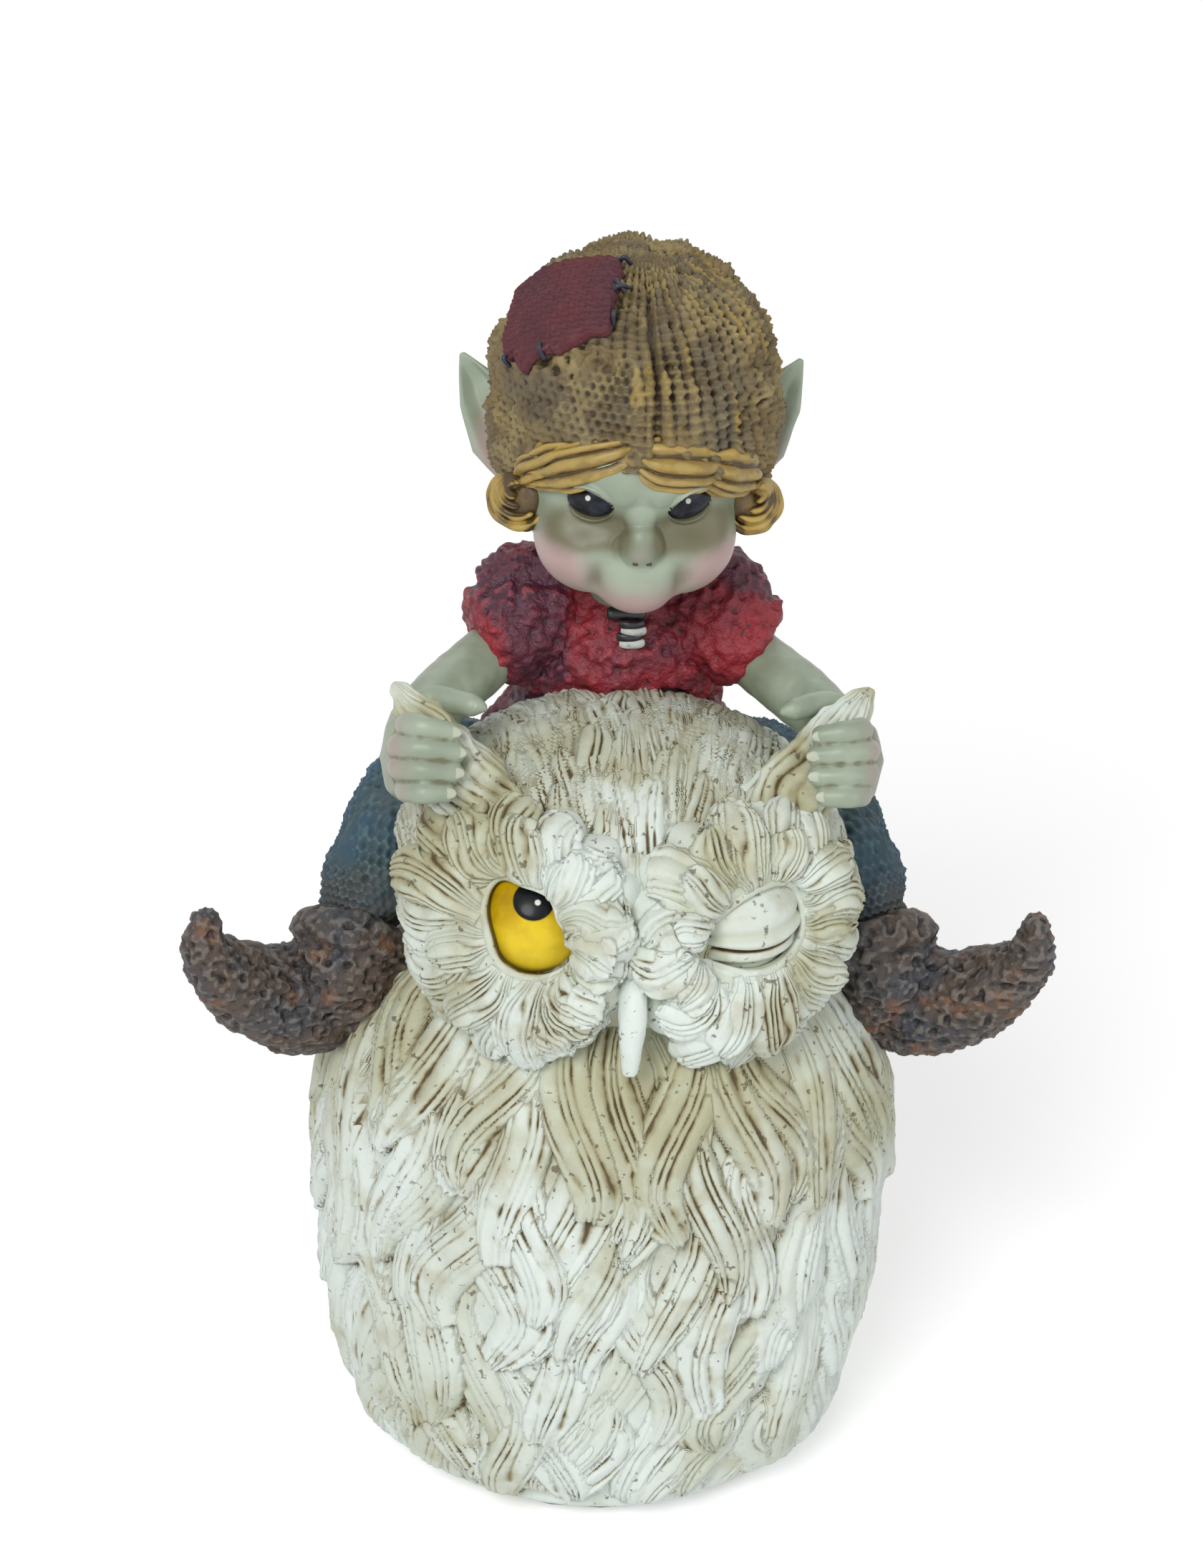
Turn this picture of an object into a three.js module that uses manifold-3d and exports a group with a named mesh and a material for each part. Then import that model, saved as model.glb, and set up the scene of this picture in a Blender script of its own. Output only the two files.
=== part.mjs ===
// Pixie riding a winking owl: a painted cold-cast resin ornament, made of castings that are pinned and glued.
// Millimetres, +Z up. Owl and rider face -Y, and left is the figure's own left, +X.
// The origin is the centre of the felt's underside, on which the ornament stands.

import * as THREE from "three";
import { mergeVertices } from "three/addons/utils/BufferGeometryUtils.js";
import Module from "manifold-3d";

const wasm = await Module();
wasm.setup();

// Seats and fixings
const GLUE_LINE = 0.3; // gap that the glue fills at every seat
const PIN_RADIUS = 1.4; // steel wire
const NECK_PIN_RADIUS = 2.5; // in the owl's neck
const PIN_LENGTH = 14;

// Base
const FELT_THICKNESS = 1.2;
const FELT_MARGIN = 1; // from the felt's edge to the edge of the owl's foot
const PLATE_MARGIN = 4; // from the plate's edge to the front of the owl's foot
const PLATE_THICKNESS = 3;
const PLATE_LEDGE = 4; // width of the ledge that the plate is glued up to

// Owl's body, a hollow casting
const OWL_FOOT_WIDTH = 58;
const OWL_BELLY_WIDTH = 76;
const OWL_BELLY_DEPTH = 72;
const OWL_BELLY_HEIGHT = 44;
const OWL_BODY_TOP = 84;
const OWL_SHOULDER_FULLNESS = 2.6; // 2 is an ellipse, more is squarer
const OWL_WALL = 6;
const LOCK_COUNT = 21; // main locks of plumage in a row round the body
const LOCK_ROWS = 6;
const LOCK_LOW = 21; // height of the lowest row's roots
const LOCK_STEP = 9.5; // between rows
const LOCK_WIDTH = 10.5;
const LOCK_LENGTH = 21;
const LOCK_HEIGHT = 2;
const LOCK_SWAY = 2.4;

// Owl's wings and tail
const WING_WIDTH = 28;
const WING_THICKNESS = 9;
const WING_TOP = 66;
const WING_TIP = 13;
const WING_TOP_YAW = 112; // from the front, at the wing's top, middle and tip
const WING_MIDDLE_YAW = 124;
const WING_TIP_YAW = 150;
const TAIL_WIDTH = 22;
const TAIL_THICKNESS = 8;
const TAIL_TOP = 32;
const TAIL_TIP = 6;

// Owl's head
const OWL_HEAD_WIDTH = 58;
const OWL_HEAD_DEPTH = 50;
const OWL_HEAD_TALL = 44;
const OWL_HEAD_SETBACK = 6; // front of the head behind the front of the belly
const OWL_HEAD_RISE = 4; // head's centre above the body's top
const EYE_YAW = 28;
const WINK_YAW = 32;
const EYE_PITCH = 10;
const EYE_RADIUS = 7.2;
const EYE_PROUD = 3.6; // how far the eyeball stands out of the head
const LID_SLIT = 0.7;
const LID_SLIT_DROP = 2; // slit's place below the middle of the shut eye
const LID_SLIT_SLOPE = 3;
const RUFF_YAW = 33;
const RUFF_WIDTH_SHARE = 0.57; // of the head's width
const RUFF_TALL = 41;
const RUFF_BROW_CUT = 0.26; // how much shorter the ruff is above the eye
const RUFF_THICKNESS = 8;
const RUFF_SCALLOP = 1.6;
const RUFF_FEATHERS = 15;
const RUFF_CURVE = 30; // radius that the ruff bends back to
const RUFF_OPENING = 0.85; // share of the eyeball that the ruff leaves open
const BEAK_LENGTH = 14;
const BEAK_RADIUS = 2.2;
const TUFT_YAW = 46;
const TUFT_PITCH = 36;
const TUFT_LENGTH = 23;
const TUFT_RADIUS = 5.5;

// Rider's tunic, legs and shoes
const SEAT_BACK = 21; // behind the owl's axis
const SEAT_DROP = 7; // tunic's hem below the top of the owl's body
const TUNIC_TALL = 44;
const TUNIC_LEAN = 10; // how far the neck is ahead of the seat
const TUNIC_HEM_WIDTH = 43;
const TUNIC_WAIST_WIDTH = 28;
const TUNIC_CHEST_WIDTH = 28;
const TUNIC_DEPTH = 19;
const SLEEVE_RADIUS = 6.8;
const SHOULDER_WIDTH = 36; // across the sleeves' mouths
const TOGGLE_LENGTH = 5;
const TOGGLE_RADIUS = 1.1;
const LEG_RADIUS = 6.4;
const KNEE_DROP = 3; // below the centre of the owl's head
const KNEE_BACK = 9; // behind the centre of the owl's head
const SHIN_DROP = 9; // ankle below the knee
const SHIN_FORWARD = 7; // ankle ahead of the knee
const SHOE_HEEL_RADIUS = 8;
const SHOE_HEEL_DROP = 10.5; // below the ankle
const SHOE_LENGTH = 17.5; // from the heel out to the bend of the toe
const SHOE_FORWARD = 12; // how far the toe is ahead of the heel
const SHOE_CURL = 20.5; // height of the turned-up toe above the sole's middle
const SHOE_TOE_RADIUS = 1.9;
const CUFF_WALL = 1.4;

// Rider's arms
const ARM_RADIUS = 4.1;
const WRIST_RADIUS = 3.3;
const PALM_TALL = 11;
const PALM_RADIUS = 4;
const FINGER_RADIUS = 1.5;
const FINGER_COUNT = 4;

// Rider's head
const SKULL_WIDTH = 29.5;
const SKULL_DEPTH = 34;
const SKULL_TALL = 34;
const HEAD_LIFT = 18; // skull's centre above the tunic's neck
const HEAD_FORWARD = 2;
const NECK_RADIUS = 5;
const CHEEK_RADIUS = 7.4;
const MUZZLE_RADIUS = 6.6;
const NOSE_RADIUS = 2.6;
const EAR_LENGTH = 17;
const EAR_WIDTH = 10;
const EAR_THICKNESS = 3.4;
const FRINGE_RADIUS = 2.4;
const CURL_RADIUS = 3.7;
const HAT_WIDTH = 37.4;
const HAT_DEPTH = 39.4;
const HAT_TALL = 42;
const HAT_LIFT = 6.5; // hat's centre above the skull's
const HAT_RIM_HEIGHT = 5.8; // rim above the skull's centre, at the brow
const HAT_RIM_SLOPE = 36; // the rim falls to the nape
const PATCH_WIDTH = 17;
const PATCH_TALL = 12.5;
const PATCH_THICKNESS = 1;
const PATCH_ROLL = 38;

// Facets
const BODY_SIDES = 26;
const LOCK_FACETS = 4; // the body's facets are split this many ways round, to carry the locks
const LOCK_RINGS = 3; // and this many ways up
const BALL_SIDES = 18;
const LIMB_SIDES = 10;
const LIMB_RINGS = 9;
const FINGER_SIDES = 6;
const FINGER_RINGS = 5;
const RUFF_STEPS = RUFF_FEATHERS * 4;
const MERGE_DISTANCE = 1e-4;
const FAR = 400; // larger than anything here

const SIDES = { left: 1, right: -1 };
const UP = new THREE.Vector3(0, 0, 1);
const vec = (x, y, z) => new THREE.Vector3(x, y, z);
const rad = THREE.MathUtils.degToRad;

// Solids

// A closed geometry as a solid that can be joined and cut.
function solidOf(geometry) {
  const loose = geometry.index ? geometry.toNonIndexed() : geometry;
  const bare = new THREE.BufferGeometry();
  bare.setAttribute("position", loose.getAttribute("position"));
  const merged = mergeVertices(bare, MERGE_DISTANCE);
  const mesh = new wasm.Mesh({
    numProp: 3,
    vertProperties: merged.attributes.position.array,
    triVerts: new Uint32Array(merged.index.array),
  });
  return new wasm.Manifold(mesh);
}

const joined = (solids) => solids.reduce((whole, part) => whole.add(part));

// The largest lump that a cut leaves.
function mainLump(solid) {
  return solid.decompose().reduce((a, b) => (b.volume() > a.volume() ? b : a));
}

function ball(centre, radii, grow = 0, sides = BALL_SIDES) {
  const geometry = new THREE.SphereGeometry(1, sides, Math.round(sides * 0.6));
  geometry.scale(radii.x + grow, radii.y + grow, radii.z + grow);
  return solidOf(geometry.translate(centre.x, centre.y, centre.z));
}

const round = (radius) => vec(radius, radius, radius);

// A rod with flat ends from one point to another.
function rod(from, to, radius, grow = 0, sides = 10) {
  const along = to.clone().sub(from);
  const geometry = new THREE.CylinderGeometry(radius + grow, radius + grow, along.length() + 2 * grow, sides);
  geometry.applyQuaternion(new THREE.Quaternion().setFromUnitVectors(vec(0, 1, 0), along.normalize()));
  const middle = from.clone().add(to).multiplyScalar(0.5);
  return solidOf(geometry.translate(middle.x, middle.y, middle.z));
}

// A block centred on a point, with its own Z along a direction and its X level.
function block(centre, direction, size, roll = 0) {
  const z = direction.clone().normalize();
  const x = UP.clone().cross(z).normalize();
  const y = z.clone().cross(x);
  const geometry = new THREE.BoxGeometry(size.x, size.y, size.z).rotateZ(roll);
  return solidOf(geometry.applyMatrix4(new THREE.Matrix4().makeBasis(x, y, z).setPosition(centre)));
}

// A limb that swells and tapers along a smooth curve, with domed ends.
// Each station has a place, a half-width, a half-thickness and the direction that its thickness lies along.
function limb(stations, grow = 0, sides = LIMB_SIDES, rings = LIMB_RINGS) {
  const endSquareness = 5;
  const curve = new THREE.CatmullRomCurve3(stations.map((s) => s.at));
  const geometry = new THREE.SphereGeometry(1, sides, rings);
  const points = geometry.getAttribute("position");
  for (let i = 0; i < points.count; i++) {
    const height = points.getY(i);
    const along = (1 - height) / 2;
    const girth = Math.hypot(points.getX(i), points.getZ(i)) || 1;
    const dome = (1 - Math.abs(height) ** endSquareness) ** (1 / endSquareness);
    const span = along * (stations.length - 1);
    const first = Math.min(Math.floor(span), stations.length - 2);
    const share = span - first;
    const mix = (key) => THREE.MathUtils.lerp(stations[first][key], stations[first + 1][key], share);
    const facing = stations[first].facing.clone().lerp(stations[first + 1].facing, share);
    const tangent = curve.getTangent(along);
    const side = facing.cross(tangent).normalize();
    const front = tangent.clone().cross(side);
    const place = curve.getPoint(along).addScaledVector(tangent, -height * grow);
    place.addScaledVector(side, (points.getX(i) / girth) * dome * (mix("wide") + grow));
    place.addScaledVector(front, (points.getZ(i) / girth) * dome * (mix("thick") + grow));
    points.setXYZ(i, place.x, place.y, place.z);
  }
  return solidOf(geometry);
}

const station = (at, wide, thick = wide, facing = UP) => ({ at, wide, thick, facing });

// Reference surfaces that carry the smaller castings

// The place on an ellipsoid at a yaw from the front towards +X and a pitch above level, and the way it faces.
function onBall(centre, radii, yaw, pitch) {
  const level = Math.cos(rad(pitch));
  const way = vec(Math.sin(rad(yaw)) * level, -Math.cos(rad(yaw)) * level, Math.sin(rad(pitch)));
  return {
    at: way.clone().multiply(radii).add(centre),
    normal: way.clone().divide(radii).normalize(),
  };
}

const raised = (spot, height) => spot.at.clone().addScaledVector(spot.normal, height);

const footHeight = FELT_THICKNESS + GLUE_LINE;
const bodyDepthShare = OWL_BELLY_DEPTH / OWL_BELLY_WIDTH;
const plateRadius = (OWL_FOOT_WIDTH / 2) * Math.min(1, bodyDepthShare) - PLATE_MARGIN;

// The body's outline from its foot to its top, as radius and height: a quarter ellipse below the belly,
// and a fuller curve above it that the head sits on.
function bodyOutline(grow, lowSteps = 5, highSteps = 6) {
  const foot = OWL_FOOT_WIDTH / 2 + grow;
  const belly = OWL_BELLY_WIDTH / 2 + grow;
  const bottom = footHeight - grow;
  const top = OWL_BODY_TOP + grow;
  const outline = [new THREE.Vector2(0, bottom)];
  for (let i = 0; i < lowSteps; i++) {
    const angle = (i / lowSteps) * (Math.PI / 2);
    const radius = foot + (belly - foot) * Math.sin(angle);
    outline.push(new THREE.Vector2(radius, OWL_BELLY_HEIGHT - (OWL_BELLY_HEIGHT - bottom) * Math.cos(angle)));
  }
  for (let i = 0; i < highSteps; i++) {
    const angle = (i / highSteps) * (Math.PI / 2);
    const radius = belly * Math.cos(angle) ** (2 / OWL_SHOULDER_FULLNESS);
    const rise = Math.sin(angle) ** (2 / OWL_SHOULDER_FULLNESS);
    outline.push(new THREE.Vector2(radius, OWL_BELLY_HEIGHT + (top - OWL_BELLY_HEIGHT) * rise));
  }
  outline.push(new THREE.Vector2(0, top));
  return outline;
}

// The body's radius at a height, on its widest side. A negative growth gives the hollow's.
function bodyRadius(height, grow = 0) {
  const belly = OWL_BELLY_WIDTH / 2 + grow;
  if (height > OWL_BELLY_HEIGHT) {
    const rise = Math.min(1, (height - OWL_BELLY_HEIGHT) / (OWL_BODY_TOP + grow - OWL_BELLY_HEIGHT));
    return belly * (1 - rise ** OWL_SHOULDER_FULLNESS) ** (1 / OWL_SHOULDER_FULLNESS);
  }
  const foot = OWL_FOOT_WIDTH / 2 + grow;
  const drop = Math.min(1, (OWL_BELLY_HEIGHT - height) / (OWL_BELLY_HEIGHT - footHeight));
  return foot + (belly - foot) * Math.sqrt(1 - drop ** 2);
}

// The place on the body at a yaw from the front and a height, and the level way that it faces.
function onBody(yaw, height) {
  const radius = bodyRadius(height);
  const at = vec(Math.sin(rad(yaw)) * radius, -Math.cos(rad(yaw)) * radius * bodyDepthShare, height);
  return { at, normal: vec(Math.sin(rad(yaw)), -Math.cos(rad(yaw)), 0) };
}

const owlHeadBack = OWL_HEAD_SETBACK + (OWL_HEAD_DEPTH - OWL_BELLY_DEPTH) / 2;
const owlHeadCentre = vec(0, owlHeadBack, OWL_BODY_TOP + OWL_HEAD_RISE);
const owlHeadRadii = vec(OWL_HEAD_WIDTH / 2, OWL_HEAD_DEPTH / 2, OWL_HEAD_TALL / 2);
const onOwlHead = (yaw, pitch) => onBall(owlHeadCentre, owlHeadRadii, yaw, pitch);

const seatHeight = OWL_BODY_TOP - SEAT_DROP;
const neckTop = vec(0, SEAT_BACK - TUNIC_LEAN, seatHeight + TUNIC_TALL);
const skullCentre = neckTop.clone().add(vec(0, -HEAD_FORWARD, HEAD_LIFT));
const skullRadii = vec(SKULL_WIDTH / 2, SKULL_DEPTH / 2, SKULL_TALL / 2);
const onSkull = (yaw, pitch) => onBall(skullCentre, skullRadii, yaw, pitch);

const hatCentre = skullCentre.clone().add(vec(0, (HAT_DEPTH - SKULL_DEPTH) / 2 - GLUE_LINE, HAT_LIFT));
const hatRadii = vec(HAT_WIDTH / 2, HAT_DEPTH / 2, HAT_TALL / 2);

// Forms, each of which can be grown to cut the seat of its neighbour

const forms = {};

// A flat disc on the owl's axis, as deep for its width as the share says.
function disc(radius, bottom, thickness, grow, depthShare = 1) {
  const geometry = new THREE.CylinderGeometry(radius + grow, radius + grow, thickness + 2 * grow, BODY_SIDES);
  geometry.rotateX(Math.PI / 2).scale(1, depthShare, 1);
  return solidOf(geometry.translate(0, 0, bottom + thickness / 2));
}

// Base

forms.felt_pad = (grow) => disc(OWL_FOOT_WIDTH / 2 - FELT_MARGIN, 0, FELT_THICKNESS, grow, bodyDepthShare);
forms.base_plate = (grow) => disc(plateRadius, footHeight, PLATE_THICKNESS, grow);

// Owl's body, wings and tail

function bodyShape(grow) {
  const geometry = new THREE.LatheGeometry(bodyOutline(grow), BODY_SIDES).rotateX(Math.PI / 2);
  return solidOf(geometry.scale(1, bodyDepthShare, 1));
}

// How far the main locks stand out of the body. Each hangs from its root in a slight S and ends in a round tip.
// They stop short of the wings, the tail, the shoes and the ruffs, which are seated on the plain shape.
function lockRelief(yaw, height) {
  const wingMiddle = (WING_TOP + WING_TIP) / 2;
  const wingYaw =
    height > wingMiddle
      ? THREE.MathUtils.mapLinear(height, WING_TOP, wingMiddle, WING_TOP_YAW, WING_MIDDLE_YAW)
      : THREE.MathUtils.mapLinear(height, wingMiddle, WING_TIP, WING_MIDDLE_YAW, WING_TIP_YAW);
  const aside = Math.abs(THREE.MathUtils.euclideanModulo(yaw + 180, 360) - 180);
  const clearOfWings = THREE.MathUtils.smoothstep(Math.abs(aside - wingYaw), 26, 34);
  const clearOfTail = height > TAIL_TOP + 8 ? 1 : THREE.MathUtils.smoothstep(180 - aside, 24, 32);
  const shoulder = THREE.MathUtils.lerp(64, 52, THREE.MathUtils.smoothstep(aside, 30, 60));
  const clearAbove = 1 - THREE.MathUtils.smoothstep(height, shoulder - 6, shoulder);
  const clearBelow = THREE.MathUtils.smoothstep(height, footHeight + 1, footHeight + 5);
  let rise = 0;
  for (let row = 0; row < LOCK_ROWS; row++) {
    for (let i = 0; i < LOCK_COUNT; i++) {
      const vary = (kind) => Math.sin((row * LOCK_COUNT + i) * 12.9898 + kind * 78.233);
      const rootYaw = ((i + 0.5 * (row % 2) + 0.2 * vary(1)) * 360) / LOCK_COUNT;
      const share = (LOCK_LOW + LOCK_STEP * row + 1.5 * vary(2) - height) / (LOCK_LENGTH * (1 + 0.12 * vary(3)));
      const turn = THREE.MathUtils.euclideanModulo(yaw - rootYaw + 180, 360) - 180;
      if (share < 0 || share > 1 || Math.abs(turn) > 40) {
        continue;
      }
      const drift = 3 * vary(5) * share + LOCK_SWAY * vary(4) * Math.sin(2 * Math.PI * share);
      const tip = Math.max(0, (share - 0.7) / 0.3);
      const half = (LOCK_WIDTH / 2) * Math.min(1, 0.55 + 1.5 * share) * Math.sqrt(1 - tip ** 2);
      const across = (rad(turn) * bodyRadius(height) - drift) / Math.max(half, 1e-6);
      if (Math.abs(across) < 1) {
        rise = Math.max(rise, LOCK_HEIGHT * (0.2 + 0.8 * share) * Math.sqrt(1 - across ** 4));
      }
    }
  }
  return (rise - LOCK_HEIGHT * 0.45) * clearOfWings * clearOfTail * clearAbove * clearBelow;
}

// The plain shape with its facets split, and the main locks raised on it.
function featheredBody() {
  const plain = bodyOutline(0);
  const outline = [];
  for (let i = 0; i < plain.length - 1; i++) {
    const steps = plain[i].x === 0 || plain[i + 1].y > WING_TOP + 8 ? 1 : LOCK_RINGS;
    for (let k = 0; k < steps; k++) {
      outline.push(plain[i].clone().lerp(plain[i + 1], k / steps));
    }
  }
  outline.push(plain[plain.length - 1]);
  const geometry = new THREE.LatheGeometry(outline, BODY_SIDES * LOCK_FACETS).rotateX(Math.PI / 2);
  const points = geometry.getAttribute("position");
  const facet = (2 * Math.PI) / BODY_SIDES;
  for (let i = 0; i < points.count; i++) {
    const [x, y, z] = [points.getX(i), points.getY(i), points.getZ(i)];
    const turn = THREE.MathUtils.euclideanModulo(Math.atan2(x, -y), facet) - facet / 2;
    const flat = Math.cos(facet / 2) / Math.cos(turn);
    const radius = Math.hypot(x, y);
    const reach = radius * flat + (radius > 0 ? lockRelief(THREE.MathUtils.radToDeg(Math.atan2(x, -y)), z) : 0);
    const scale = radius > 0 ? reach / radius : 0;
    points.setXYZ(i, x * scale, y * scale, z);
  }
  return solidOf(geometry.scale(1, bodyDepthShare, 1));
}

// Seats are cut to the plain shape.
forms.owl_body = (grow) => (grow > 0 ? bodyShape(grow) : featheredBody());
forms.owl_body_hollow = () => bodyShape(-OWL_WALL).add(disc(plateRadius - PLATE_LEDGE, 0, 2 * OWL_WALL, 0));

function wingForm(side) {
  const middle = (WING_TOP + WING_TIP) / 2;
  const top = onBody(side * WING_TOP_YAW, WING_TOP);
  const broad = onBody(side * WING_MIDDLE_YAW, middle);
  const tip = onBody(side * WING_TIP_YAW, WING_TIP);
  const half = WING_WIDTH / 2;
  const thick = WING_THICKNESS / 2;
  return (grow) =>
    limb(
      [
        station(raised(top, -thick / 2), half * 0.6, thick, top.normal),
        station(raised(broad, -thick / 4), half, thick, broad.normal),
        station(raised(tip, 0), half * 0.35, thick * 0.7, tip.normal),
      ],
      grow,
    );
}

forms.owl_tail = (grow) => {
  const top = onBody(180, TAIL_TOP);
  const tip = onBody(180, TAIL_TIP);
  const half = TAIL_WIDTH / 2;
  const thick = TAIL_THICKNESS / 2;
  return limb(
    [
      station(raised(top, -thick), half * 0.7, thick, top.normal),
      station(raised(onBody(180, (TAIL_TOP + TAIL_TIP) / 2), 0), half * 0.9, thick, top.normal),
      station(raised(tip, thick), half, thick * 0.8, tip.normal),
    ],
    grow,
  );
};

// Owl's head

forms.owl_head = (grow) => ball(owlHeadCentre, owlHeadRadii, grow, 20);
forms.owl_neck_pin = (grow) => {
  const low = vec(0, owlHeadCentre.y, OWL_BODY_TOP - OWL_WALL * 0.6);
  return rod(low, low.clone().add(vec(0, 0, PIN_LENGTH)), NECK_PIN_RADIUS, grow);
};

const eyeSpots = {
  left: onOwlHead(WINK_YAW, EYE_PITCH),
  right: onOwlHead(-EYE_YAW, EYE_PITCH),
};
const eyeball = (side) => (grow) =>
  ball(raised(eyeSpots[side], EYE_PROUD - EYE_RADIUS), round(EYE_RADIUS), grow, 16);

forms.owl_open_eye = eyeball("right");
forms.owl_shut_eye = eyeball("left");

// The shut eye's lids meet at a slit that rises outwards.
function lidHalf(part) {
  const spot = eyeSpots.left;
  const slope = rad(LID_SLIT_SLOPE);
  const across = UP.clone().cross(spot.normal).normalize();
  const above = spot.normal.clone().cross(across);
  const rise = above.multiplyScalar(Math.cos(slope)).addScaledVector(across, -Math.sin(slope));
  const middle = raised(spot, 0).addScaledVector(rise, part * (FAR / 2 + LID_SLIT / 2) - LID_SLIT_DROP);
  return block(middle, spot.normal, vec(FAR, FAR, FAR), slope);
}

forms.owl_upper_lid = (grow) => forms.owl_shut_eye(grow).intersect(lidHalf(1));
forms.owl_lower_lid = (grow) => forms.owl_shut_eye(grow - GLUE_LINE).intersect(lidHalf(-1));

// A ring of feathers with a scalloped edge, which bends back round the head.
function ruffForm(side) {
  const spot = onOwlHead(side * RUFF_YAW, EYE_PITCH);
  const x = UP.clone().cross(spot.normal).normalize();
  const y = spot.normal.clone().cross(x);
  const frame = new THREE.Matrix4().makeBasis(x, y, spot.normal).setPosition(spot.at);
  const eye = eyeSpots[side > 0 ? "left" : "right"].at.clone().applyMatrix4(frame.clone().invert());
  const ringRadius = 2;
  return (grow) => {
    const geometry = new THREE.TorusGeometry(ringRadius, 1, 6, RUFF_STEPS);
    const points = geometry.getAttribute("position");
    for (let i = 0; i < points.count; i++) {
      const [px, py, pz] = [points.getX(i), points.getY(i), points.getZ(i)];
      const angle = Math.atan2(py, px);
      const around = Math.atan2(pz, Math.hypot(px, py) - ringRadius);
      const scallop = RUFF_SCALLOP * Math.abs(Math.cos((RUFF_FEATHERS * angle) / 2));
      const inner = EYE_RADIUS * RUFF_OPENING - grow;
      const outerX = (OWL_HEAD_WIDTH * RUFF_WIDTH_SHARE) / 2 - RUFF_SCALLOP + scallop + grow;
      const browCut = 1 - RUFF_BROW_CUT * Math.max(0, Math.sin(angle));
      const outerY = (RUFF_TALL / 2) * browCut - RUFF_SCALLOP + scallop + grow;
      const share = (1 + Math.cos(around)) / 2;
      const flatX = THREE.MathUtils.lerp(eye.x + inner * Math.cos(angle), outerX * Math.cos(angle), share);
      const flatY = THREE.MathUtils.lerp(eye.y + inner * Math.sin(angle), outerY * Math.sin(angle), share);
      const bend = (flatX ** 2 + flatY ** 2) / (2 * RUFF_CURVE);
      points.setXYZ(i, flatX, flatY, (RUFF_THICKNESS / 2 + grow) * Math.sin(around) - bend);
    }
    return solidOf(geometry.applyMatrix4(frame));
  };
}

const beakRoot = onOwlHead(0, 0);
forms.owl_beak = (grow) => {
  const low = beakRoot.at.clone().add(vec(0, -BEAK_RADIUS * 1.6, -BEAK_LENGTH));
  const bridge = beakRoot.at.clone().add(vec(0, -BEAK_RADIUS * 1.2, -BEAK_LENGTH * 0.35));
  return limb(
    [
      station(raised(beakRoot, -BEAK_RADIUS), BEAK_RADIUS * 0.8),
      station(bridge, BEAK_RADIUS, BEAK_RADIUS * 1.1),
      station(low, BEAK_RADIUS * 0.35),
    ],
    grow,
    8,
    8,
  );
};

// Each ear tuft leans out, back and up, and is held in the rider's fist.
function tuft(side) {
  const root = onOwlHead(side * TUFT_YAW, TUFT_PITCH);
  const way = vec(side * 0.58, 0.45, 0.68).normalize();
  const at = (share) => root.at.clone().addScaledVector(way, TUFT_LENGTH * share);
  return { root, way, at };
}

function tuftForm(side) {
  const { root, at } = tuft(side);
  return (grow) =>
    limb(
      [
        station(raised(root, -TUFT_RADIUS), TUFT_RADIUS, TUFT_RADIUS * 0.8, root.normal),
        station(at(0.3), TUFT_RADIUS * 0.9, TUFT_RADIUS * 0.6, root.normal),
        station(at(0.65), TUFT_RADIUS * 0.6, TUFT_RADIUS * 0.45, root.normal),
        station(at(1), TUFT_RADIUS * 0.2, TUFT_RADIUS * 0.2, root.normal),
      ],
      grow,
    );
}

// Rider's tunic

const shoulderHeight = neckTop.z - SLEEVE_RADIUS / 2;
const FRONT = vec(0, -1, 0);

const tunicLevel = (share) => vec(0, SEAT_BACK - TUNIC_LEAN * share, seatHeight + TUNIC_TALL * share);

function trunk(grow) {
  const half = TUNIC_DEPTH / 2;
  return limb(
    [
      station(tunicLevel(0), TUNIC_HEM_WIDTH / 2, half * 1.1, FRONT),
      station(tunicLevel(0.3), TUNIC_HEM_WIDTH * 0.51, half * 1.05, FRONT),
      station(tunicLevel(0.57), TUNIC_WAIST_WIDTH / 2, half, FRONT),
      station(tunicLevel(0.8), TUNIC_CHEST_WIDTH / 2, half, FRONT),
      station(tunicLevel(1), NECK_RADIUS * 1.3, NECK_RADIUS * 1.3, FRONT),
    ],
    grow,
    12,
    11,
  );
}

function sleeveMouth(side) {
  const droop = SLEEVE_RADIUS * 0.7;
  return vec((side * SHOULDER_WIDTH) / 2, neckTop.y - SLEEVE_RADIUS * 0.22, shoulderHeight - droop);
}

function sleeve(side, grow) {
  const mouth = sleeveMouth(side);
  const root = vec((side * TUNIC_CHEST_WIDTH) / 4, neckTop.y + SLEEVE_RADIUS * 0.22, shoulderHeight);
  const puff = root.clone().lerp(mouth, 0.5).setZ(shoulderHeight - SLEEVE_RADIUS * 0.2);
  return limb(
    [
      station(root, SLEEVE_RADIUS * 0.85),
      station(puff, SLEEVE_RADIUS),
      station(mouth, SLEEVE_RADIUS * 0.95),
    ],
    grow,
    LIMB_SIDES,
    8,
  );
}

forms.pixie_tunic = (grow) => joined([trunk(grow), sleeve(1, grow), sleeve(-1, grow)]);

forms.tunic_toggle = (grow) => {
  const half = TOGGLE_LENGTH / 2;
  const place = (x) => vec(x, neckTop.y - TUNIC_DEPTH * 0.3, neckTop.z - TOGGLE_RADIUS * 2.5);
  return limb(
    [
      station(place(-half), TOGGLE_RADIUS),
      station(place(0), TOGGLE_RADIUS),
      station(place(half), TOGGLE_RADIUS),
    ],
    grow,
    8,
    6,
  );
};

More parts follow.
